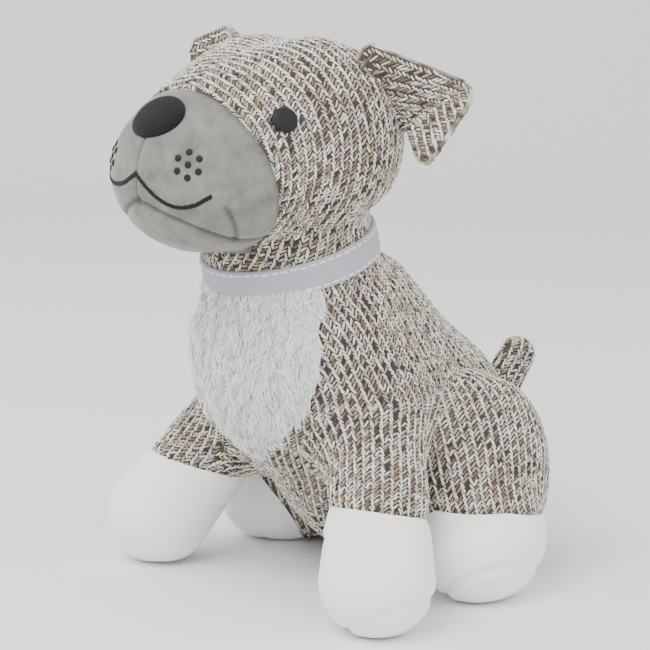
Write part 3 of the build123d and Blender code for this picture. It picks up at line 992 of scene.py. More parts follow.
def build_bib():
    """Hairs that hang down over the chest in tufts."""
    trim = bpy.context.scene.dog_trim
    verts, tris = shell(trunk_field, (-52, -50, 60), (52, 12, 182), 2.6, trunk_top, bib_edge)
    rng = np.random.default_rng(5)
    piece = Piece()
    ground = lifted(trunk_field, verts, groove(bib_edge(verts), 3, 1.0) + BIB_LIFT)
    piece.add(ground, tris, trim.white, panel_map(verts[:, [0, 2]], CLOTH_BAND, 1.0))
    count = trim.strands
    a, b, c = (verts[tris[:, i]] for i in range(3))
    area = np.linalg.norm(np.cross(b - a, c - a), axis=1)
    face = rng.choice(len(tris), count, p=area / area.sum())
    r1, r2 = np.sqrt(rng.random((count, 1))), rng.random((count, 1))
    root = a[face] * (1 - r1) + b[face] * r1 * (1 - r2) + c[face] * r1 * r2
    up = normals(trunk_field, root)
    down = unit(point(0, 0, -1) - up * (up @ point(0, 0, -1))[:, None])
    across = np.cross(up, down)
    tufts = root[rng.choice(count, BIB_TUFTS)]
    swing = rng.normal(0, 0.42, len(tufts))
    bounce = rng.uniform(0.75, 1.25, len(tufts))
    nearest = np.concatenate([np.linalg.norm(part[:, None] - tufts[None], axis=2).argmin(1)
                              for part in np.array_split(root, 20)])
    lean = swing[nearest] + rng.normal(0, 0.22, count)
    flow = down * np.cos(lean)[:, None] + across * np.sin(lean)[:, None]
    pull = tufts[nearest] - root
    pull -= up * (pull * up).sum(1)[:, None]
    length_mm = trim.strand_length / MM * rng.uniform(0.7, 1.15, count) * bounce[nearest]
    length_mm *= np.clip(-bib_edge(root) / 8, 0.55, 1)
    steps = np.linspace(0, 1, STATIONS)
    stand = rng.uniform(0.30, 0.52, count)[:, None] * length_mm[:, None]
    rise = stand * np.sin(np.pi * 0.5 * np.minimum(steps * 1.5, 1)) * (1 - 0.35 * steps ** 3)
    run = length_mm[:, None] * steps ** 1.25
    spine = (root[:, None] + flow[:, None] * run[..., None] + up[:, None] * rise[..., None]
             + pull[:, None] * (0.55 * steps ** 1.5)[None, :, None])
    twist = up[:, None] + 0.6 * rng.normal(0, 1, (count, 1, 3))
    side = unit(np.cross(np.gradient(spine, axis=1), twist))
    girth = HAIR_GIRTHS / 2 * rng.uniform(0.8, 1.2, (count, 1))
    strips = np.stack([spine - side * girth[..., None], spine + side * girth[..., None]], 2)
    shades = np.array(trim.white) * rng.uniform(0.93, 1.06, (count, 1))
    piece.add_yarns(strips, np.clip(shades, 0, 1))
    piece.make("bib_fur", tinted_material("white_fur", 0.8, 0.2, 0.0015, 0.0001),
               ["chest_bib"], "torso")


# the ribbon's ribs, its lapped end in turns about the neck, and its running stitches
RIB_PITCH, RIB_HEIGHT = 1.05, 0.17
LAP_START, LAP_END, LAP_LIFT = -0.12, 0.30, 1.15
RIBBON_TOP, RIBBON_EDGE, RIBBON_INSIDE = 0.62, 0.35, -0.9
STITCH_PITCH, STITCH_REACH, STITCH_INSET = 4.6, 1.6, 1.7
STITCH_PROFILE = ((-0.46, -0.2), (-0.2, 0.16), (0.2, 0.16), (0.46, -0.2))


def ribbon_point(angle, height, lift):
    """A point round the neck, an angle from the nape and lifted off the neck."""
    side = point(1, 0, 0)
    back = np.cross(NECK_AXIS, side)
    radius = COLLAR_RADIUS + 1.0 + lift - 0.012 * np.abs(height) ** 1.6
    return (NECK + side * (np.sin(angle) * radius)[..., None]
            + back * (np.cos(angle) * radius)[..., None]
            + NECK_AXIS * np.asarray(height)[..., None])


def add_ribbon(piece, half, start, end, lift, low):
    """Ribbed ribbon between two angles. low is where its band of the bake map starts."""
    turns = np.linspace(start, end, max(8, int((end - start) * 1400 / 6)))
    profile = [(-half, RIBBON_INSIDE), (-half, RIBBON_EDGE), (-half + RIBBON_EDGE, RIBBON_TOP)]
    profile += [(h, RIBBON_TOP) for h in np.linspace(-half + 1, half - 1, 9)]
    profile += [(half - RIBBON_EDGE, RIBBON_TOP), (half, RIBBON_EDGE), (half, RIBBON_INSIDE)]
    profile = np.array(profile)
    angle, h = np.meshgrid(turns, profile[:, 0], indexing="ij")
    rib = RIB_HEIGHT * np.cos(2 * math.pi * (angle * COLLAR_RADIUS + 0.3 * h) / RIB_PITCH)
    out = profile[:, 1][None] + lift + rib * (profile[:, 1] > 0.5)[None]
    ends = np.minimum(angle - start, end - angle) * COLLAR_RADIUS
    out = out - 0.5 * (ends < 0.3)
    bake = strip_map(1, len(turns), len(profile), 1.0) * [0.98, 0.3] + [0.01, low]
    piece.add(ribbon_point(angle, h, out).reshape(-1, 3),
              strip_faces(1, len(turns), len(profile))[:, ::-1],
              bpy.context.scene.dog_trim.ribbon, bake)


def build_collar():
    """Grosgrain ribbon with a lapped end at the nape and running stitches on both edges."""
    trim = bpy.context.scene.dog_trim
    half = trim.ribbon_width / MM / 2
    piece = Piece()
    add_ribbon(piece, half, 0, 2 * math.pi, 0.0, 0.0)
    add_ribbon(piece, half, LAP_START, LAP_END, LAP_LIFT, 0.32)
    rng = np.random.default_rng(8)
    strips = []
    for height in (-half + STITCH_INSET, half - STITCH_INSET):
        for angle in np.arange(0.0, 2 * math.pi, STITCH_PITCH / COLLAR_RADIUS):
            lift = 0.72 + (LAP_LIFT if angle < LAP_END else 0.0)
            t = np.linspace(-STITCH_REACH, STITCH_REACH, STATIONS) / COLLAR_RADIUS + angle
            rise = lift + 0.45 * np.sin(np.linspace(0.05, 0.95, STATIONS) * math.pi) - 0.1
            wave = rng.normal(0, 0.08)
            rows = [ribbon_point(t, np.full(STATIONS, height + wave + w), rise + d)
                    for w, d in STITCH_PROFILE]
            strips.append(np.stack(rows, 1))
    strips = np.array(strips)[:, :, ::-1]
    piece.add_yarns(strips, np.tile(np.array(trim.running), (len(strips), 1)), 0.3, 0.66)
    piece.make("collar", tinted_material("ribbon", 0.55, 0.1, 0.0004, 0.00004),
               ["collar_ribbon", "collar_end"], "torso")


def head_offset(p):
    drawn = groove(p[:, 0], 1.8, 0.6) * ramp(p[:, 1], -60, -20)
    drawn += groove(muzzle_edge(p), 2.4, 1.2)
    return drawn - 1.0 * (1 - ramp(along_neck(p), 8, 20))


def build_head():
    wool = wool_material()
    whole = shell(head_field, (-66, -110, 150), (66, 66, 290), 5.6,
                  lambda p: HEAD_BOTTOM - along_neck(p), lambda p: -muzzle_edge(p))
    neck = Piece()
    for name, side in SIDES:
        piece = Piece()
        knit_panel(piece, half_of(whole, side), head_field, head_offset, point(0, 0, 1),
                   21 + side, split=(lambda p: NECK_SPLIT - along_neck(p), neck),
                   reach=lambda p: along_neck(p) > 3)
        inside = ["head_stuffing"] if side > 0 else []
        piece.make(f"head_cloth_{name}", wool, [f"head_cover_{name}"] + inside,
                   "head")
    item = neck.make("neck_cloth", wool, ["neck_cover", "neck_stuffing"])
    bend(item, ("neck", "head"), NECK + NECK_AXIS * NECK_BEND, NECK + NECK_AXIS * NECK_SPLIT)


def muzzle_offset(p):
    drawn = groove(muzzle_edge(p), 2.4, 1.0)
    front = ramp(-p[:, 1], 60, 76)
    drawn += groove(p[:, 0], 1.2, 1.1) * front * ramp(p[:, 2], 200, 206) * (p[:, 2] < 236)
    drawn += groove(chin_edge(p), 1.5, 1.5)
    q = mirrored(p)
    dart = 0.8 * (q[:, 1] + 69) + 0.6 * (q[:, 2] - 197)
    return drawn + groove(dart, 1.2, 1.2) * ramp(-q[:, 2], -207, -203) * (chin_edge(p) > -1)


def muzzle_tint_with_seam_shade(p):
    """Suede colour, with painted shade that darkens it in its seams."""
    # painted shade: the colour darkens by up to 0.55 with the depth of each seam's groove
    depth = np.clip(-muzzle_offset(p) - 0.35, 0, 1)
    return np.array(bpy.context.scene.dog_trim.suede) * (1 - 0.55 * depth)[:, None]


def build_muzzle():
    verts, tris = shell(head_field, (-58, -106, 170), (58, -20, 266), 1.25,
                        lambda p: -2 - along_neck(p), muzzle_edge)
    # the suede's colour, with painted shade in the seams
    tints = muzzle_tint_with_seam_shade(verts)
    verts = lifted(head_field, verts, muzzle_offset(verts) + SUEDE_LIFT)
    piece = Piece()
    piece.add(verts, tris, tints, panel_map(verts[:, [0, 2]], 0.0, 1.0))
    piece.make("muzzle_cloth", suede_material(),
               ["muzzle_panel_left", "muzzle_panel_right", "chin_panel"], "head")


def on_face(x, z):
    """Points of the muzzle's cloth straight in front of x and z, and normals there."""
    x, z = np.broadcast_arrays(np.asarray(x, float), np.asarray(z, float))
    low, high = np.full(x.size, -115.0), np.full(x.size, -40.0)
    for _ in range(24):
        middle = (low + high) / 2
        inside = head_field(np.stack([x.ravel(), middle, z.ravel()], -1)) < 0
        high = np.where(inside, middle, high)
        low = np.where(inside, low, middle)
    p = np.stack([x.ravel(), high, z.ravel()], -1)
    n = normals(head_field, p)
    p = p + n * (np.maximum(muzzle_offset(p), -0.3) + SUEDE_LIFT)[:, None]
    return p.reshape(x.shape + (3,)), n.reshape(x.shape + (3,))


def basis(centre):
    """Across and up in the plane of the cloth at a point of the face."""
    n = normals(head_field, centre[None])
    across = np.cross(point(0, 0, 1), n[0])
    across /= np.linalg.norm(across)
    return across, np.cross(n[0], across)


def pad(piece, centre, radii, thick, tint, turn=0.0, rings=16, spokes=56, threads=0.0):
    """A domed patch that follows the face. threads is the pitch of satin stitches on it."""
    across, up = basis(centre)
    c, s = math.cos(turn), math.sin(turn)
    r, a = np.meshgrid(np.linspace(0, 1, rings) ** 0.8, np.arange(spokes) * 2 * math.pi / spokes,
                       indexing="ij")
    u, v = r * np.cos(a) * radii[0], r * np.sin(a) * radii[1]
    flat = (centre + across * (c * u - s * v)[..., None] + up * (s * u + c * v)[..., None])
    flat = settle(head_field, flat.reshape(-1, 3), 3)
    normal = normals(head_field, flat)
    dome = thick * (1 - r ** 5) ** 0.6 * (0.82 + 0.18 * np.sqrt(np.maximum(1 - r ** 2, 0)))
    if threads:
        dome = dome + 0.10 * np.cos(2 * math.pi * u / threads) * (r < 0.97)
    verts = flat + normal * (dome.ravel() + 0.35 - 0.9 * (r.ravel() > 0.99))[:, None]
    i, j = np.meshgrid(np.arange(rings - 1), np.arange(spokes), indexing="ij")
    a0 = (i * spokes + j).ravel()
    b0 = (i * spokes + (j + 1) % spokes).ravel()
    tris = np.concatenate([np.stack([a0, a0 + spokes, b0], -1),
                           np.stack([b0, a0 + spokes, b0 + spokes], -1)])
    bake = np.stack([u.ravel() / radii[0], v.ravel() / radii[1]], -1) * 0.49 + 0.5
    piece.add(verts, tris, tint, bake)


NOSE_Z, NOSE_RADII, NOSE_THICK = 244.0, (17.4, 12.8), 3.4
EYE_X, EYE_Y, EYE_Z, EYE_THICK = 46, -44, 243, 1.9
DOTS_X, DOTS_Z, DOT_RING, DOT_THICK = 28.0, 224.0, 6, 0.75
DOT_TURN = 0.52


def build_nose():
    piece = Piece()
    centre, _ = on_face(0.0, NOSE_Z)
    pad(piece, centre, NOSE_RADII, NOSE_THICK, bpy.context.scene.dog_trim.felt, rings=24,
        spokes=80)
    felt = tinted_material("black_felt", 0.97, 0.06, 0.0006, 0.0004, 0.5, 2.4)
    piece.make("nose_felt", felt, ["nose"], "head")


def build_eyes():
    trim = bpy.context.scene.dog_trim
    thread = thread_material()
    radius = trim.eye_radius / MM
    for name, side in SIDES:
        piece = Piece()
        centre = settle(head_field, point(EYE_X * side, EYE_Y, EYE_Z)[None], 4)[0]
        pad(piece, centre, (radius, radius), EYE_THICK, trim.thread, turn=0.5 * side, rings=22,
            spokes=90, threads=0.62)
        piece.make(f"eye_{name}_thread", thread, [f"eye_{name}"], "head")


def build_dots():
    trim = bpy.context.scene.dog_trim
    thread = thread_material()
    radius = trim.dot_radius / MM
    spots = [(0, 0)] + [(DOT_RING * math.cos(a), DOT_RING * math.sin(a))
                        for a in np.arange(6) * math.pi / 3 + DOT_TURN]
    for name, side in SIDES:
        piece = Piece()
        middle, _ = on_face(DOTS_X * side, DOTS_Z)
        across, up = basis(middle)
        for number, (u, v) in enumerate(spots):
            spot = settle(head_field, (middle + across * u + up * v)[None], 3)[0]
            pad(piece, spot, (radius, radius), DOT_THICK, trim.thread, turn=number, rings=8,
                spokes=24, threads=0.6)
        piece.make(f"whisker_dots_{name}_thread", thread,
                   [f"whisker_dots_{name}"], "head")


# the mouth's line on each side, as x and z
MOUTH_LEFT = ((0, 218.6), (4, 215.6), (9, 211.4), (15.5, 206.8), (22.5, 204.3), (30, 205.6),
              (36.9, 209.9))
MOUTH_RIGHT = ((0, 218.6), (-4, 216.0), (-9, 213.6), (-15.5, 212.2), (-22.5, 212.0),
               (-30, 213.0), (-36, 215.0))


def smooth_path(corners, count):
    """A curve through the corners, evenly spaced."""
    corners = np.array(corners, float)
    ends = np.concatenate([[2 * corners[0] - corners[1]], corners,
                           [2 * corners[-1] - corners[-2]]])
    path = []
    for i in range(len(corners) - 1):
        a, b, c, d = ends[i:i + 4]
        t = np.linspace(0, 1, 30, endpoint=False)[:, None]
        path.append(b + (c - a) * t / 2 + (2 * a - 5 * b + 4 * c - d) * t ** 2 / 2
                    + (3 * b - a - 3 * c + d) * t ** 3 / 2)
    path = np.concatenate(path + [corners[-1:]])
    far = np.concatenate([[0], np.cumsum(np.linalg.norm(np.diff(path, axis=0), axis=1))])
    want = np.linspace(0, far[-1], count)
    return np.stack([np.interp(want, far, path[:, i]) for i in range(path.shape[1])], -1)


MOUTH_WIDTH = 2.3
SATIN_PITCH = 0.42
SATIN_PROFILE = ((0.62, -0.25), (0.25, 0.06), (-0.25, 0.06), (-0.62, -0.25))


def satin(piece, path, rng, tint):
    """Slanting stitches side by side along a line on the face."""
    middle, n = on_face(path[:, 0], path[:, 1])
    run = unit(np.gradient(middle, axis=0))
    side = np.cross(n, run)
    across = np.linspace(-1, 1, STATIONS)
    reach = MOUTH_WIDTH / 2 * rng.uniform(0.82, 1.18, (len(path), 2))
    far = np.where(across[None] > 0, reach[:, :1] * across, reach[:, 1:] * across)
    lift = 0.55 * (1 - across ** 4)[None] + rng.uniform(0, 0.15, (len(path), 1)) - 0.15
    slant = 0.35 * rng.uniform(0.6, 1.2, (len(path), 1))
    spine = (middle[:, None] + side[:, None] * far[..., None]
             + run[:, None] * (far * slant)[..., None] + n[:, None] * lift[..., None])
    strips = [spine + run[:, None] * (w * SATIN_PITCH) + n[:, None] * d
              for w, d in SATIN_PROFILE]
    piece.add_yarns(np.stack(strips, 2), np.tile(np.array(tint), (len(path), 1)), 1.0)


def build_mouth():
    trim = bpy.context.scene.dog_trim
    rng = np.random.default_rng(3)
    line = np.concatenate([smooth_path(MOUTH_RIGHT, 105)[::-1], smooth_path(MOUTH_LEFT, 105)[1:]])
    piece = Piece()
    satin(piece, line, rng, trim.thread)
    piece.make("mouth_thread", thread_material(), ["mouth_stitching"], "head")


# where an ear is sewn on, its fold, its tip and its outer corner, how far its top edge swells
# and how far its flap falls; the right one, given as its mirror, is more erect
EAR_TOP, EAR_BOTTOM = point(44, 5, 267), point(49, 28, 231)
EAR_FOLD = {1: point(56, 26, 236), -1: point(58, 24, 240)}
EAR_TIP = {1: point(80, 15, 221), -1: point(83, 8, 234)}
EAR_OUTER = {1: point(83, 40, 257), -1: point(79, 27, 279)}
EAR_HUMP = {1: 11.0, -1: 9.0}
EAR_SOFT = 3.4           # half of the cloth that goes round the fold
EAR_TUCK = 4             # cloth sewn in at the root
EAR_HALF = 1.3           # half the ear's thickness
EAR_ROWS_UP, EAR_ROWS_DOWN, EAR_COLUMNS = 18, 16, 23
EAR_FLAP = {1: (0.35, 0.82, 1.0, 0.97, 0.42, 0.2), -1: (0.35, 0.82, 1.0, 0.97, 0.75, 0.62)}


def ear_cloth(side):
    """Flat pattern and shaped mid-surface of one ear, as a left one."""
    crease = EAR_OUTER[side] - EAR_FOLD[side]
    wide = np.linalg.norm(crease)
    drop = EAR_TIP[side] - EAR_FOLD[side]
    tip_u = drop @ crease / wide ** 2
    fall = drop - crease * tip_u
    deep = np.linalg.norm(fall)
    fall /= deep
    u = np.linspace(0, 1, EAR_COLUMNS) ** 1.3
    reach = np.interp(u, (0, 0.04, tip_u, 0.22, 0.9, 1), EAR_FLAP[side]) * deep
    root = EAR_BOTTOM + (EAR_TOP - EAR_BOTTOM) * u[:, None]
    hem = EAR_FOLD[side] + crease * u[:, None]
    spread = np.linalg.norm(root - hem, axis=1) + EAR_TUCK
    inward = (root - hem) / (spread - EAR_TUCK)[:, None]
    steps = np.concatenate([np.linspace(-1, 0, EAR_ROWS_UP, endpoint=False),
                            np.linspace(0, 1, EAR_ROWS_DOWN)])
    verts, flat = [], []
    for t in steps:
        s = spread * t if t < 0 else reach * t
        round_fold = (s + EAR_SOFT) ** 2 / (4 * EAR_SOFT)
        over = np.where(s < -EAR_SOFT, 0, np.where(s > EAR_SOFT, s, round_fold))
        place = hem + inward * (over - s)[:, None] + fall * over[:, None]
        from_root = np.clip((s + spread - EAR_TUCK) / spread, 0, 1)
        place[:, 2] += EAR_HUMP[side] * u ** 3 * (1 - from_root) * ramp(s + spread, 2, 9)
        verts.append(place)
        flat.append(np.stack([wide * (u - 0.5), -s], -1))
    shape = (len(steps), EAR_COLUMNS)
    return np.array(verts).reshape(-1, 3), np.array(flat).reshape(-1, 2), shape


def ear_skins(piece, verts, flat, tris, side):
    """Front and back cloth of an ear with their yarns."""
    knit = bpy.context.scene.dog_knit
    n = vertex_normals(verts, tris)
    for face, order, low in ((1, tris, CLOTH_BAND), (-1, tris[:, ::-1], 0.9)):
        skin = verts + n * EAR_HALF * face
        sites = stitch_sites(skin, order, flat * [face, 1], knit.wale / MM, knit.row / MM,
                             (0.5, 0.5))
        rng = np.random.default_rng(31 + side + face)
        parts, tints, _ = knit_yarns(sites, None, lambda p: np.zeros(len(p)), rng, side < 0)
        # the ear's cloth under its yarns takes the ground colour, painted shade between the yarns
        piece.add(skin, order, knit.ground, panel_map(flat, low, low + 0.1))
        piece.add_yarns(parts, tints, 0.38, 0.0 if face > 0 else 0.4)


def ear_rim(piece, verts, tris, shape, side):
    """Rounded edge that joins an ear's front and back."""
    n = vertex_normals(verts, tris)
    rows, columns = shape
    grid = np.arange(rows * columns).reshape(shape)
    rim = np.concatenate([grid[:, 0], grid[-1, 1:], grid[::-1, -1][1:]])
    outward = verts[rim] - verts[grid[rows // 2 + 4, columns // 2]]
    outward = unit(outward - n[rim] * (outward * n[rim]).sum(1)[:, None])
    bead = np.stack([verts[rim] + n[rim] * EAR_HALF * math.cos(a) + outward * 0.9 * math.sin(a)
                     for a in np.linspace(0, 1, STATIONS) * math.pi], 1)
    tints = yarn_colours(np.random.default_rng(71 + side), len(rim), False)
    piece.add(bead.reshape(-1, 3), strip_faces(1, len(rim), STATIONS),
              np.repeat(tints * 0.8, STATIONS, 0),
              strip_map(1, len(rim), STATIONS, 1.0) * [1, 0.015] + [0, 0.385])


def build_ears():
    wool = wool_material()
    for name, side in SIDES:
        verts, flat, shape = ear_cloth(side)
        tris = strip_faces(1, *shape)
        a, b, c = (verts[tris[:, i]] for i in range(3))
        tris = tris[np.linalg.norm(np.cross(b - a, c - a), axis=1) > 1e-6]
        piece = Piece()
        ear_skins(piece, verts, flat, tris, side)
        ear_rim(piece, verts, tris, shape, side)
        if side < 0:
            piece.flip()
        item = piece.make(f"ear_cloth_{name}", wool,
                          [f"ear_front_{name}", f"ear_back_{name}"])
        middle = (EAR_TOP + EAR_BOTTOM) / 2
        out = (EAR_OUTER[side] + EAR_FOLD[side]) / 2 - middle
        out /= np.linalg.norm(out)
        bend(item, ("head", f"ear_{name}"), middle - out * 3, middle + out * 6, side)


def foreleg_margin(p):
    """Below zero where a foreleg's cloth is, down to its edge inside the trunk."""
    return foreleg_field(p) - body_field(p) - FORELEG_MARGIN


def hind_margin(p):
    return hind_field(p) - body_field(p) - HIND_MARGIN


def knit_limb(name, wool, side, panels, cloth, up, seed, replaced, bodies, ends,
              reach=None, underside=None):
    """A limb's knitted cloth, made as a left one."""
    piece = Piece()
    for number, panel in enumerate(panels):
        knit_panel(piece, panel, *cloth, up, seed + number, side < 0, reach)
    if underside:
        add_underside(piece, underside)
    if side < 0:
        piece.flip()
    item = piece.make(name, wool, replaced)
    bend(item, bodies, *ends, side)


def foreleg_seam(p):
    """Distance to the two seams that run down a foreleg."""
    facing = np.cross(FORELEG_AXIS, point(0.7, 0.7, 0.1))
    return (mirrored(p) - KNEE) @ facing / np.linalg.norm(facing)


def foreleg_offset(p):
    drawn = groove(forepaw_edge(p), 2.0, 1.0) + groove(foreleg_top_edge(p), 2.0, 0.9)
    drawn += groove(foreleg_seam(p), 1.6, 0.5)
    return drawn - 2.2 * ramp(foreleg_margin(p), -6, 0)


def build_forelegs():
    wool = wool_material()
    leg = shell(foreleg_on_body, (4, -56, -6), (120, 66, 122), 4.4, foreleg_margin,
                lambda p: p[:, 2] - FORELEG_SEAM_Z, lambda p: -forepaw_edge(p))
    panels = [cut(leg, lambda p, s=s: s * foreleg_seam(p)) for s in (-1, 1)]
    for name, side in SIDES:
        knit_limb(f"foreleg_cloth_{name}", wool, side, panels,
                  (foreleg_on_body, foreleg_offset), -FORELEG_AXIS, 41 + 2 * side,
                  [f"foreleg_cover_{name}", f"foreleg_stuffing_{name}"],
                  ("torso", f"foreleg_{name}"), (point(36, 22, 103), point(52, 6, 72)))


def paw_wrinkles(fold):
    """Soft fold of plush that hangs over above a line; fold is the height above it."""
    return groove(fold, 2.2, 0.9) - groove(fold - 5, 4.0, 0.8)


def forepaw_offset(p):
    drawn = groove(forepaw_edge(p), 3.0, 1.4) + groove(forepaw_sole(p), 1.7, 1.5)
    q = mirrored(p)
    inner = ramp(-(q[:, 0] - 62), -4, 10)
    fold = forepaw_edge(p) + 15 - 0.35 * (q[:, 0] - 60) + 1.5 * np.sin(q[:, 1] / 6)
    return drawn + paw_wrinkles(fold) * inner


def hindpaw_offset(p):
    return groove(hindpaw_edge(p), 3.0, 1.4) + groove(hindpaw_sole(p), 1.7, 1.5)


def plush_paws(paw, leg, mesh, field, offset):
    """White paws of both sides, made as a left one."""
    plush = bpy.data.materials.get("white_plush") or plush_material()
    verts, tris = mesh
    verts = lifted(field, verts, offset(verts) + PLUSH_LIFT)
    bake = panel_map(verts[:, [0, 2]] + verts[:, 1:2] * [0.5, 0], 0.0, 1.0)
    for name, side in SIDES:
        piece = Piece()
        piece.add(verts, tris, bpy.context.scene.dog_trim.white, bake)
        if side < 0:
            piece.flip()
        piece.make(f"{paw}_plush_{name}", plush,
                   [f"{paw}_{name}", f"{paw}_sole_{name}"], f"{leg}_{name}")


def build_forepaws():
    mesh = shell(foreleg_on_body, (20, -60, -3), (118, 40, 90), 1.7, foreleg_margin,
                 forepaw_edge)
    plush_paws("forepaw", "foreleg", mesh, foreleg_on_body, forepaw_offset)


def haunch_offset(p):
    return groove(hindpaw_edge(p), 2.0, 1.0) - 2.2 * ramp(hind_margin(p), -6, 0)


def build_haunches():
    wool = wool_material()
    cloth = shell(hind_on_body, (2, -12, -6), (122, 134, 126), 5.4, hind_margin,
                  lambda p: -hindpaw_edge(p))
    walls = cut(cloth, lambda p: HAUNCH_FLOOR_Z - p[:, 2])
    walls = cut(walls, lambda p: HAUNCH_INNER_X - p[:, 0])
    under = cut(cloth, lambda p: p[:, 2] - HAUNCH_FLOOR_Z)
    inner = cut(walls, lambda p: p[:, 0] - HAUNCH_SEAM_X)
    panels = [cut(walls, lambda p: HAUNCH_SEAM_X - p[:, 0]),
              cut(inner, lambda p: HAUNCH_SEAM_Y - p[:, 1]),
              cut(inner, lambda p: p[:, 1] - HAUNCH_SEAM_Y)]
    for name, side in SIDES:
        knit_limb(f"haunch_cloth_{name}", wool, side, panels, (hind_on_body, haunch_offset),
                  point(0, 0.2, 1), 51 + 2 * side,
                  [f"haunch_cover_{name}", f"hindleg_stuffing_{name}"],
                  ("torso", f"hindleg_{name}"), (point(46, 60, 50), point(60, 60, 50)),
                  reach=above_floor, underside=under)


def build_hindpaws():
    mesh = shell(hind_on_body, (20, -2, -3), (118, 112, 66), 1.7, hind_margin, hindpaw_edge)
    plush_paws("hindpaw", "hindleg", mesh, hind_on_body, hindpaw_offset)


def tail_offset(p):
    return groove(p[:, 0], 1.4, 0.5)


def build_tail():
    whole = shell(tail_field, (-16, 122, 44), (16, 184, 114), 3.2,
                  lambda p: body_field(p) * -1 - 5)
    root, run = pivot("tail_wag"), point(0, 0.64, 0.77)
    knit_limb("tail_cloth", wool_material(), 1, [half_of(whole, side) for _, side in SIDES],
              (tail_field, tail_offset), run, 61, ["tail_cover", "tail_stuffing"],
              ("torso", "tail"), (root - run * 2, root + run * 9))


# the backdrop's profile in metres, and the way it faces
BACKDROP_REACH, BACKDROP_FRONT, BACKDROP_DEPTH = 4.0, -3.0, 2.2
BACKDROP_RISE, BACKDROP_BEND = 3.0, 0.8
BACKDROP_TURN = math.radians(47.5)
# azimuth and height in degrees, size and share of the light
LIGHTS = (("key_light", 15, 52, 0.9, 1.0), ("side_light", 100, 35, 1.2, 0.35),
          ("far_light", -60, 40, 1.2, 0.30))
LIGHT_DISTANCE, LIGHT_AIM = 1.3, point(9, -22, 130)
CAMERA_AIM, CAMERA_BACK = point(49.7, -22, 144.7), (0.7249, -0.6643, 0.1822)


def placed(name, data, target, away, distance):
    """A light or camera that looks at a target from a distance."""
    item = bpy.data.objects.new(name, data)
    bpy.context.scene.collection.objects.link(item)
    item.location = target + away * distance
    item.rotation_euler = (-away).to_track_quat("-Z", "Y").to_euler()
    return item


def build_backdrop():
    shader = Shader("floor")
    shader.surface.inputs["Base Color"].default_value = (*bpy.context.scene.dog_stage.floor, 1)
    shader.surface.inputs["Roughness"].default_value = 0.9
    foot = BACKDROP_DEPTH - BACKDROP_BEND
    profile = [(BACKDROP_FRONT, 0.0), (foot, 0.0)]
    profile += [(foot + BACKDROP_BEND * math.sin(a), BACKDROP_BEND - BACKDROP_BEND * math.cos(a))
                for a in np.linspace(0.1, math.pi / 2, 12)]
    profile += [(BACKDROP_DEPTH, BACKDROP_RISE)]
    c, s = math.cos(BACKDROP_TURN), math.sin(BACKDROP_TURN)
    verts = [(c * side - s * far, s * side + c * far, high) for far, high in profile
             for side in (-BACKDROP_REACH, BACKDROP_REACH)]
    faces = [(2 * i, 2 * i + 1, 2 * i + 3, 2 * i + 2) for i in range(len(profile) - 1)]
    mesh = bpy.data.meshes.new("floor")
    mesh.from_pydata(verts, [], faces)
    mesh.polygons.foreach_set("use_smooth", [True] * len(faces))
    mesh.materials.append(shader.material)
    floor = bpy.data.objects.new("floor", mesh)
    bpy.context.scene.collection.objects.link(floor)


def build_stage():
    stage = bpy.context.scene.dog_stage
    build_backdrop()
    world = bpy.data.worlds.new("studio")
    world.use_nodes = True
    background = world.node_tree.nodes["Background"].inputs
    background["Color"].default_value = (1, 1, 1, 1)
    background["Strength"].default_value = stage.fill
    bpy.context.scene.world = world
    for name, azimuth, height, size, share in LIGHTS:
        a, e = math.radians(azimuth), math.radians(height)
        lamp = bpy.data.lights.new(name, "AREA")
        lamp.shape = "DISK"
        lamp.size = size
        lamp.energy = stage.light * share
        away = Vector((math.sin(a) * math.cos(e), -math.cos(a) * math.cos(e), math.sin(e)))
        placed(name, lamp, Vector(frame_point(LIGHT_AIM)), away, LIGHT_DISTANCE)
    camera = bpy.data.cameras.new("camera")
    camera.sensor_width = 36
    camera.lens = stage.lens
    bpy.context.scene.camera = placed("camera", camera, Vector(frame_point(CAMERA_AIM)),
                                      Vector(CAMERA_BACK).normalized(), stage.distance)


# ------------------------------------------------------------------------------------------
# Operators and panel
# ------------------------------------------------------------------------------------------
class Step:
    """One step of the dog; build is the function that makes it."""

    def execute(self, context):
        self.build()
        return {"FINISHED"}


class DogTrunk(Step, bpy.types.Operator):
    """Knitted cloth of the trunk"""
    bl_idname = "dog.trunk"
    bl_label = "Trunk"
    build = staticmethod(build_trunk)


class DogBib(Step, bpy.types.Operator):
    """White fur of the chest"""
    bl_idname = "dog.bib"
    bl_label = "Bib"
    build = staticmethod(build_bib)


class DogCollar(Step, bpy.types.Operator):
    """Ribbon round the neck"""
    bl_idname = "dog.collar"
    bl_label = "Collar"
    build = staticmethod(build_collar)


class DogHead(Step, bpy.types.Operator):
    """Knitted cloth of the head and neck"""
    bl_idname = "dog.head"
    bl_label = "Head and neck"
    build = staticmethod(build_head)


class DogMuzzle(Step, bpy.types.Operator):
    """Suede muzzle with its seams"""
    bl_idname = "dog.muzzle"
    bl_label = "Muzzle"
    build = staticmethod(build_muzzle)


class DogNose(Step, bpy.types.Operator):
    """Felt nose"""
    bl_idname = "dog.nose"
    bl_label = "Nose"
    build = staticmethod(build_nose)


class DogEyes(Step, bpy.types.Operator):
    """Embroidered eyes"""
    bl_idname = "dog.eyes"
    bl_label = "Eyes"
    build = staticmethod(build_eyes)


class DogDots(Step, bpy.types.Operator):
    """Embroidered whisker dots"""
    bl_idname = "dog.dots"
    bl_label = "Whisker dots"
    build = staticmethod(build_dots)


class DogMouth(Step, bpy.types.Operator):
    """Satin-stitched mouth"""
    bl_idname = "dog.mouth"
    bl_label = "Mouth"
    build = staticmethod(build_mouth)


class DogEars(Step, bpy.types.Operator):
    """Folded ears"""
    bl_idname = "dog.ears"
    bl_label = "Ears"
    build = staticmethod(build_ears)


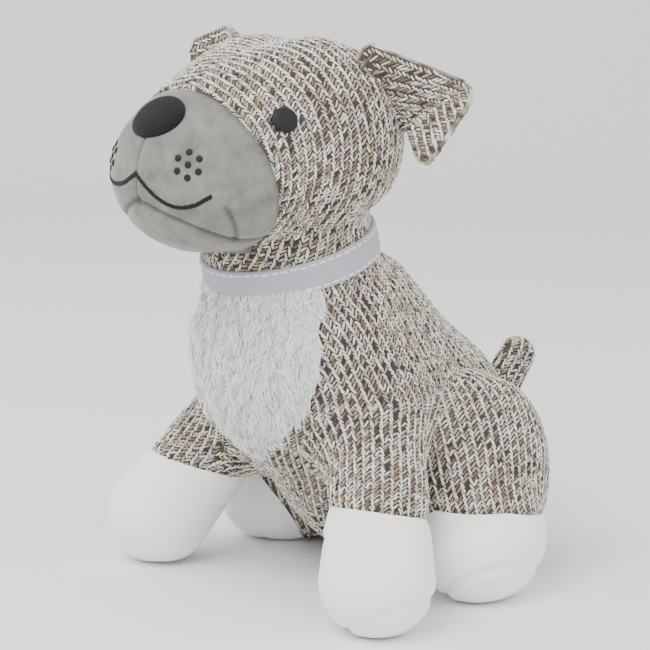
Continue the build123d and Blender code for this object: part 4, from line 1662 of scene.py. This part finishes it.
class DogForelegs(Step, bpy.types.Operator):
    """Knitted cloth of the forelegs"""
    bl_idname = "dog.forelegs"
    bl_label = "Forelegs"
    build = staticmethod(build_forelegs)


class DogForepaws(Step, bpy.types.Operator):
    """White plush of the forepaws"""
    bl_idname = "dog.forepaws"
    bl_label = "Forepaws"
    build = staticmethod(build_forepaws)


class DogHaunches(Step, bpy.types.Operator):
    """Knitted cloth of the haunches"""
    bl_idname = "dog.haunches"
    bl_label = "Haunches"
    build = staticmethod(build_haunches)


class DogHindpaws(Step, bpy.types.Operator):
    """White plush of the hind paws"""
    bl_idname = "dog.hindpaws"
    bl_label = "Hind paws"
    build = staticmethod(build_hindpaws)


class DogTail(Step, bpy.types.Operator):
    """Knitted tail"""
    bl_idname = "dog.tail"
    bl_label = "Tail"
    build = staticmethod(build_tail)


class DogStudio(Step, bpy.types.Operator):
    """Floor, lights and camera"""
    bl_idname = "dog.stage"
    bl_label = "Stage"
    build = staticmethod(build_stage)


STEPS = (DogTrunk, DogBib, DogCollar, DogHead, DogMuzzle, DogNose, DogEyes, DogDots, DogMouth,
         DogEars, DogForelegs, DogForepaws, DogHaunches, DogHindpaws, DogTail, DogStudio)
GROUPS = (("dog_knit", DogKnit), ("dog_trim", DogTrim), ("dog_stage", DogStage))


class DogPanel(bpy.types.Panel):
    """Steps and settings of the plush dog"""
    bl_idname = "VIEW3D_PT_plush_dog"
    bl_label = "Plush dog"
    bl_space_type = "VIEW_3D"
    bl_region_type = "UI"
    bl_category = "Plush dog"

    def draw(self, context):
        for step in STEPS:
            self.layout.operator(step.bl_idname)
        for name, group in GROUPS:
            box = self.layout.box()
            for prop in group.__annotations__:
                box.prop(getattr(context.scene, name), prop)


def register():
    for name, group in GROUPS:
        bpy.utils.register_class(group)
        setattr(bpy.types.Scene, name, PointerProperty(type=group))
    for step in STEPS:
        bpy.utils.register_class(step)
    bpy.utils.register_class(DogPanel)


def unregister():
    bpy.utils.unregister_class(DogPanel)
    for step in reversed(STEPS):
        bpy.utils.unregister_class(step)
    for name, group in reversed(GROUPS):
        delattr(bpy.types.Scene, name)
        bpy.utils.unregister_class(group)


def main():
    register()
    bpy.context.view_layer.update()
    for step in STEPS:
        group, name = step.bl_idname.split(".")
        getattr(getattr(bpy.ops, group), name)()


if __name__ == "__main__":
    main()
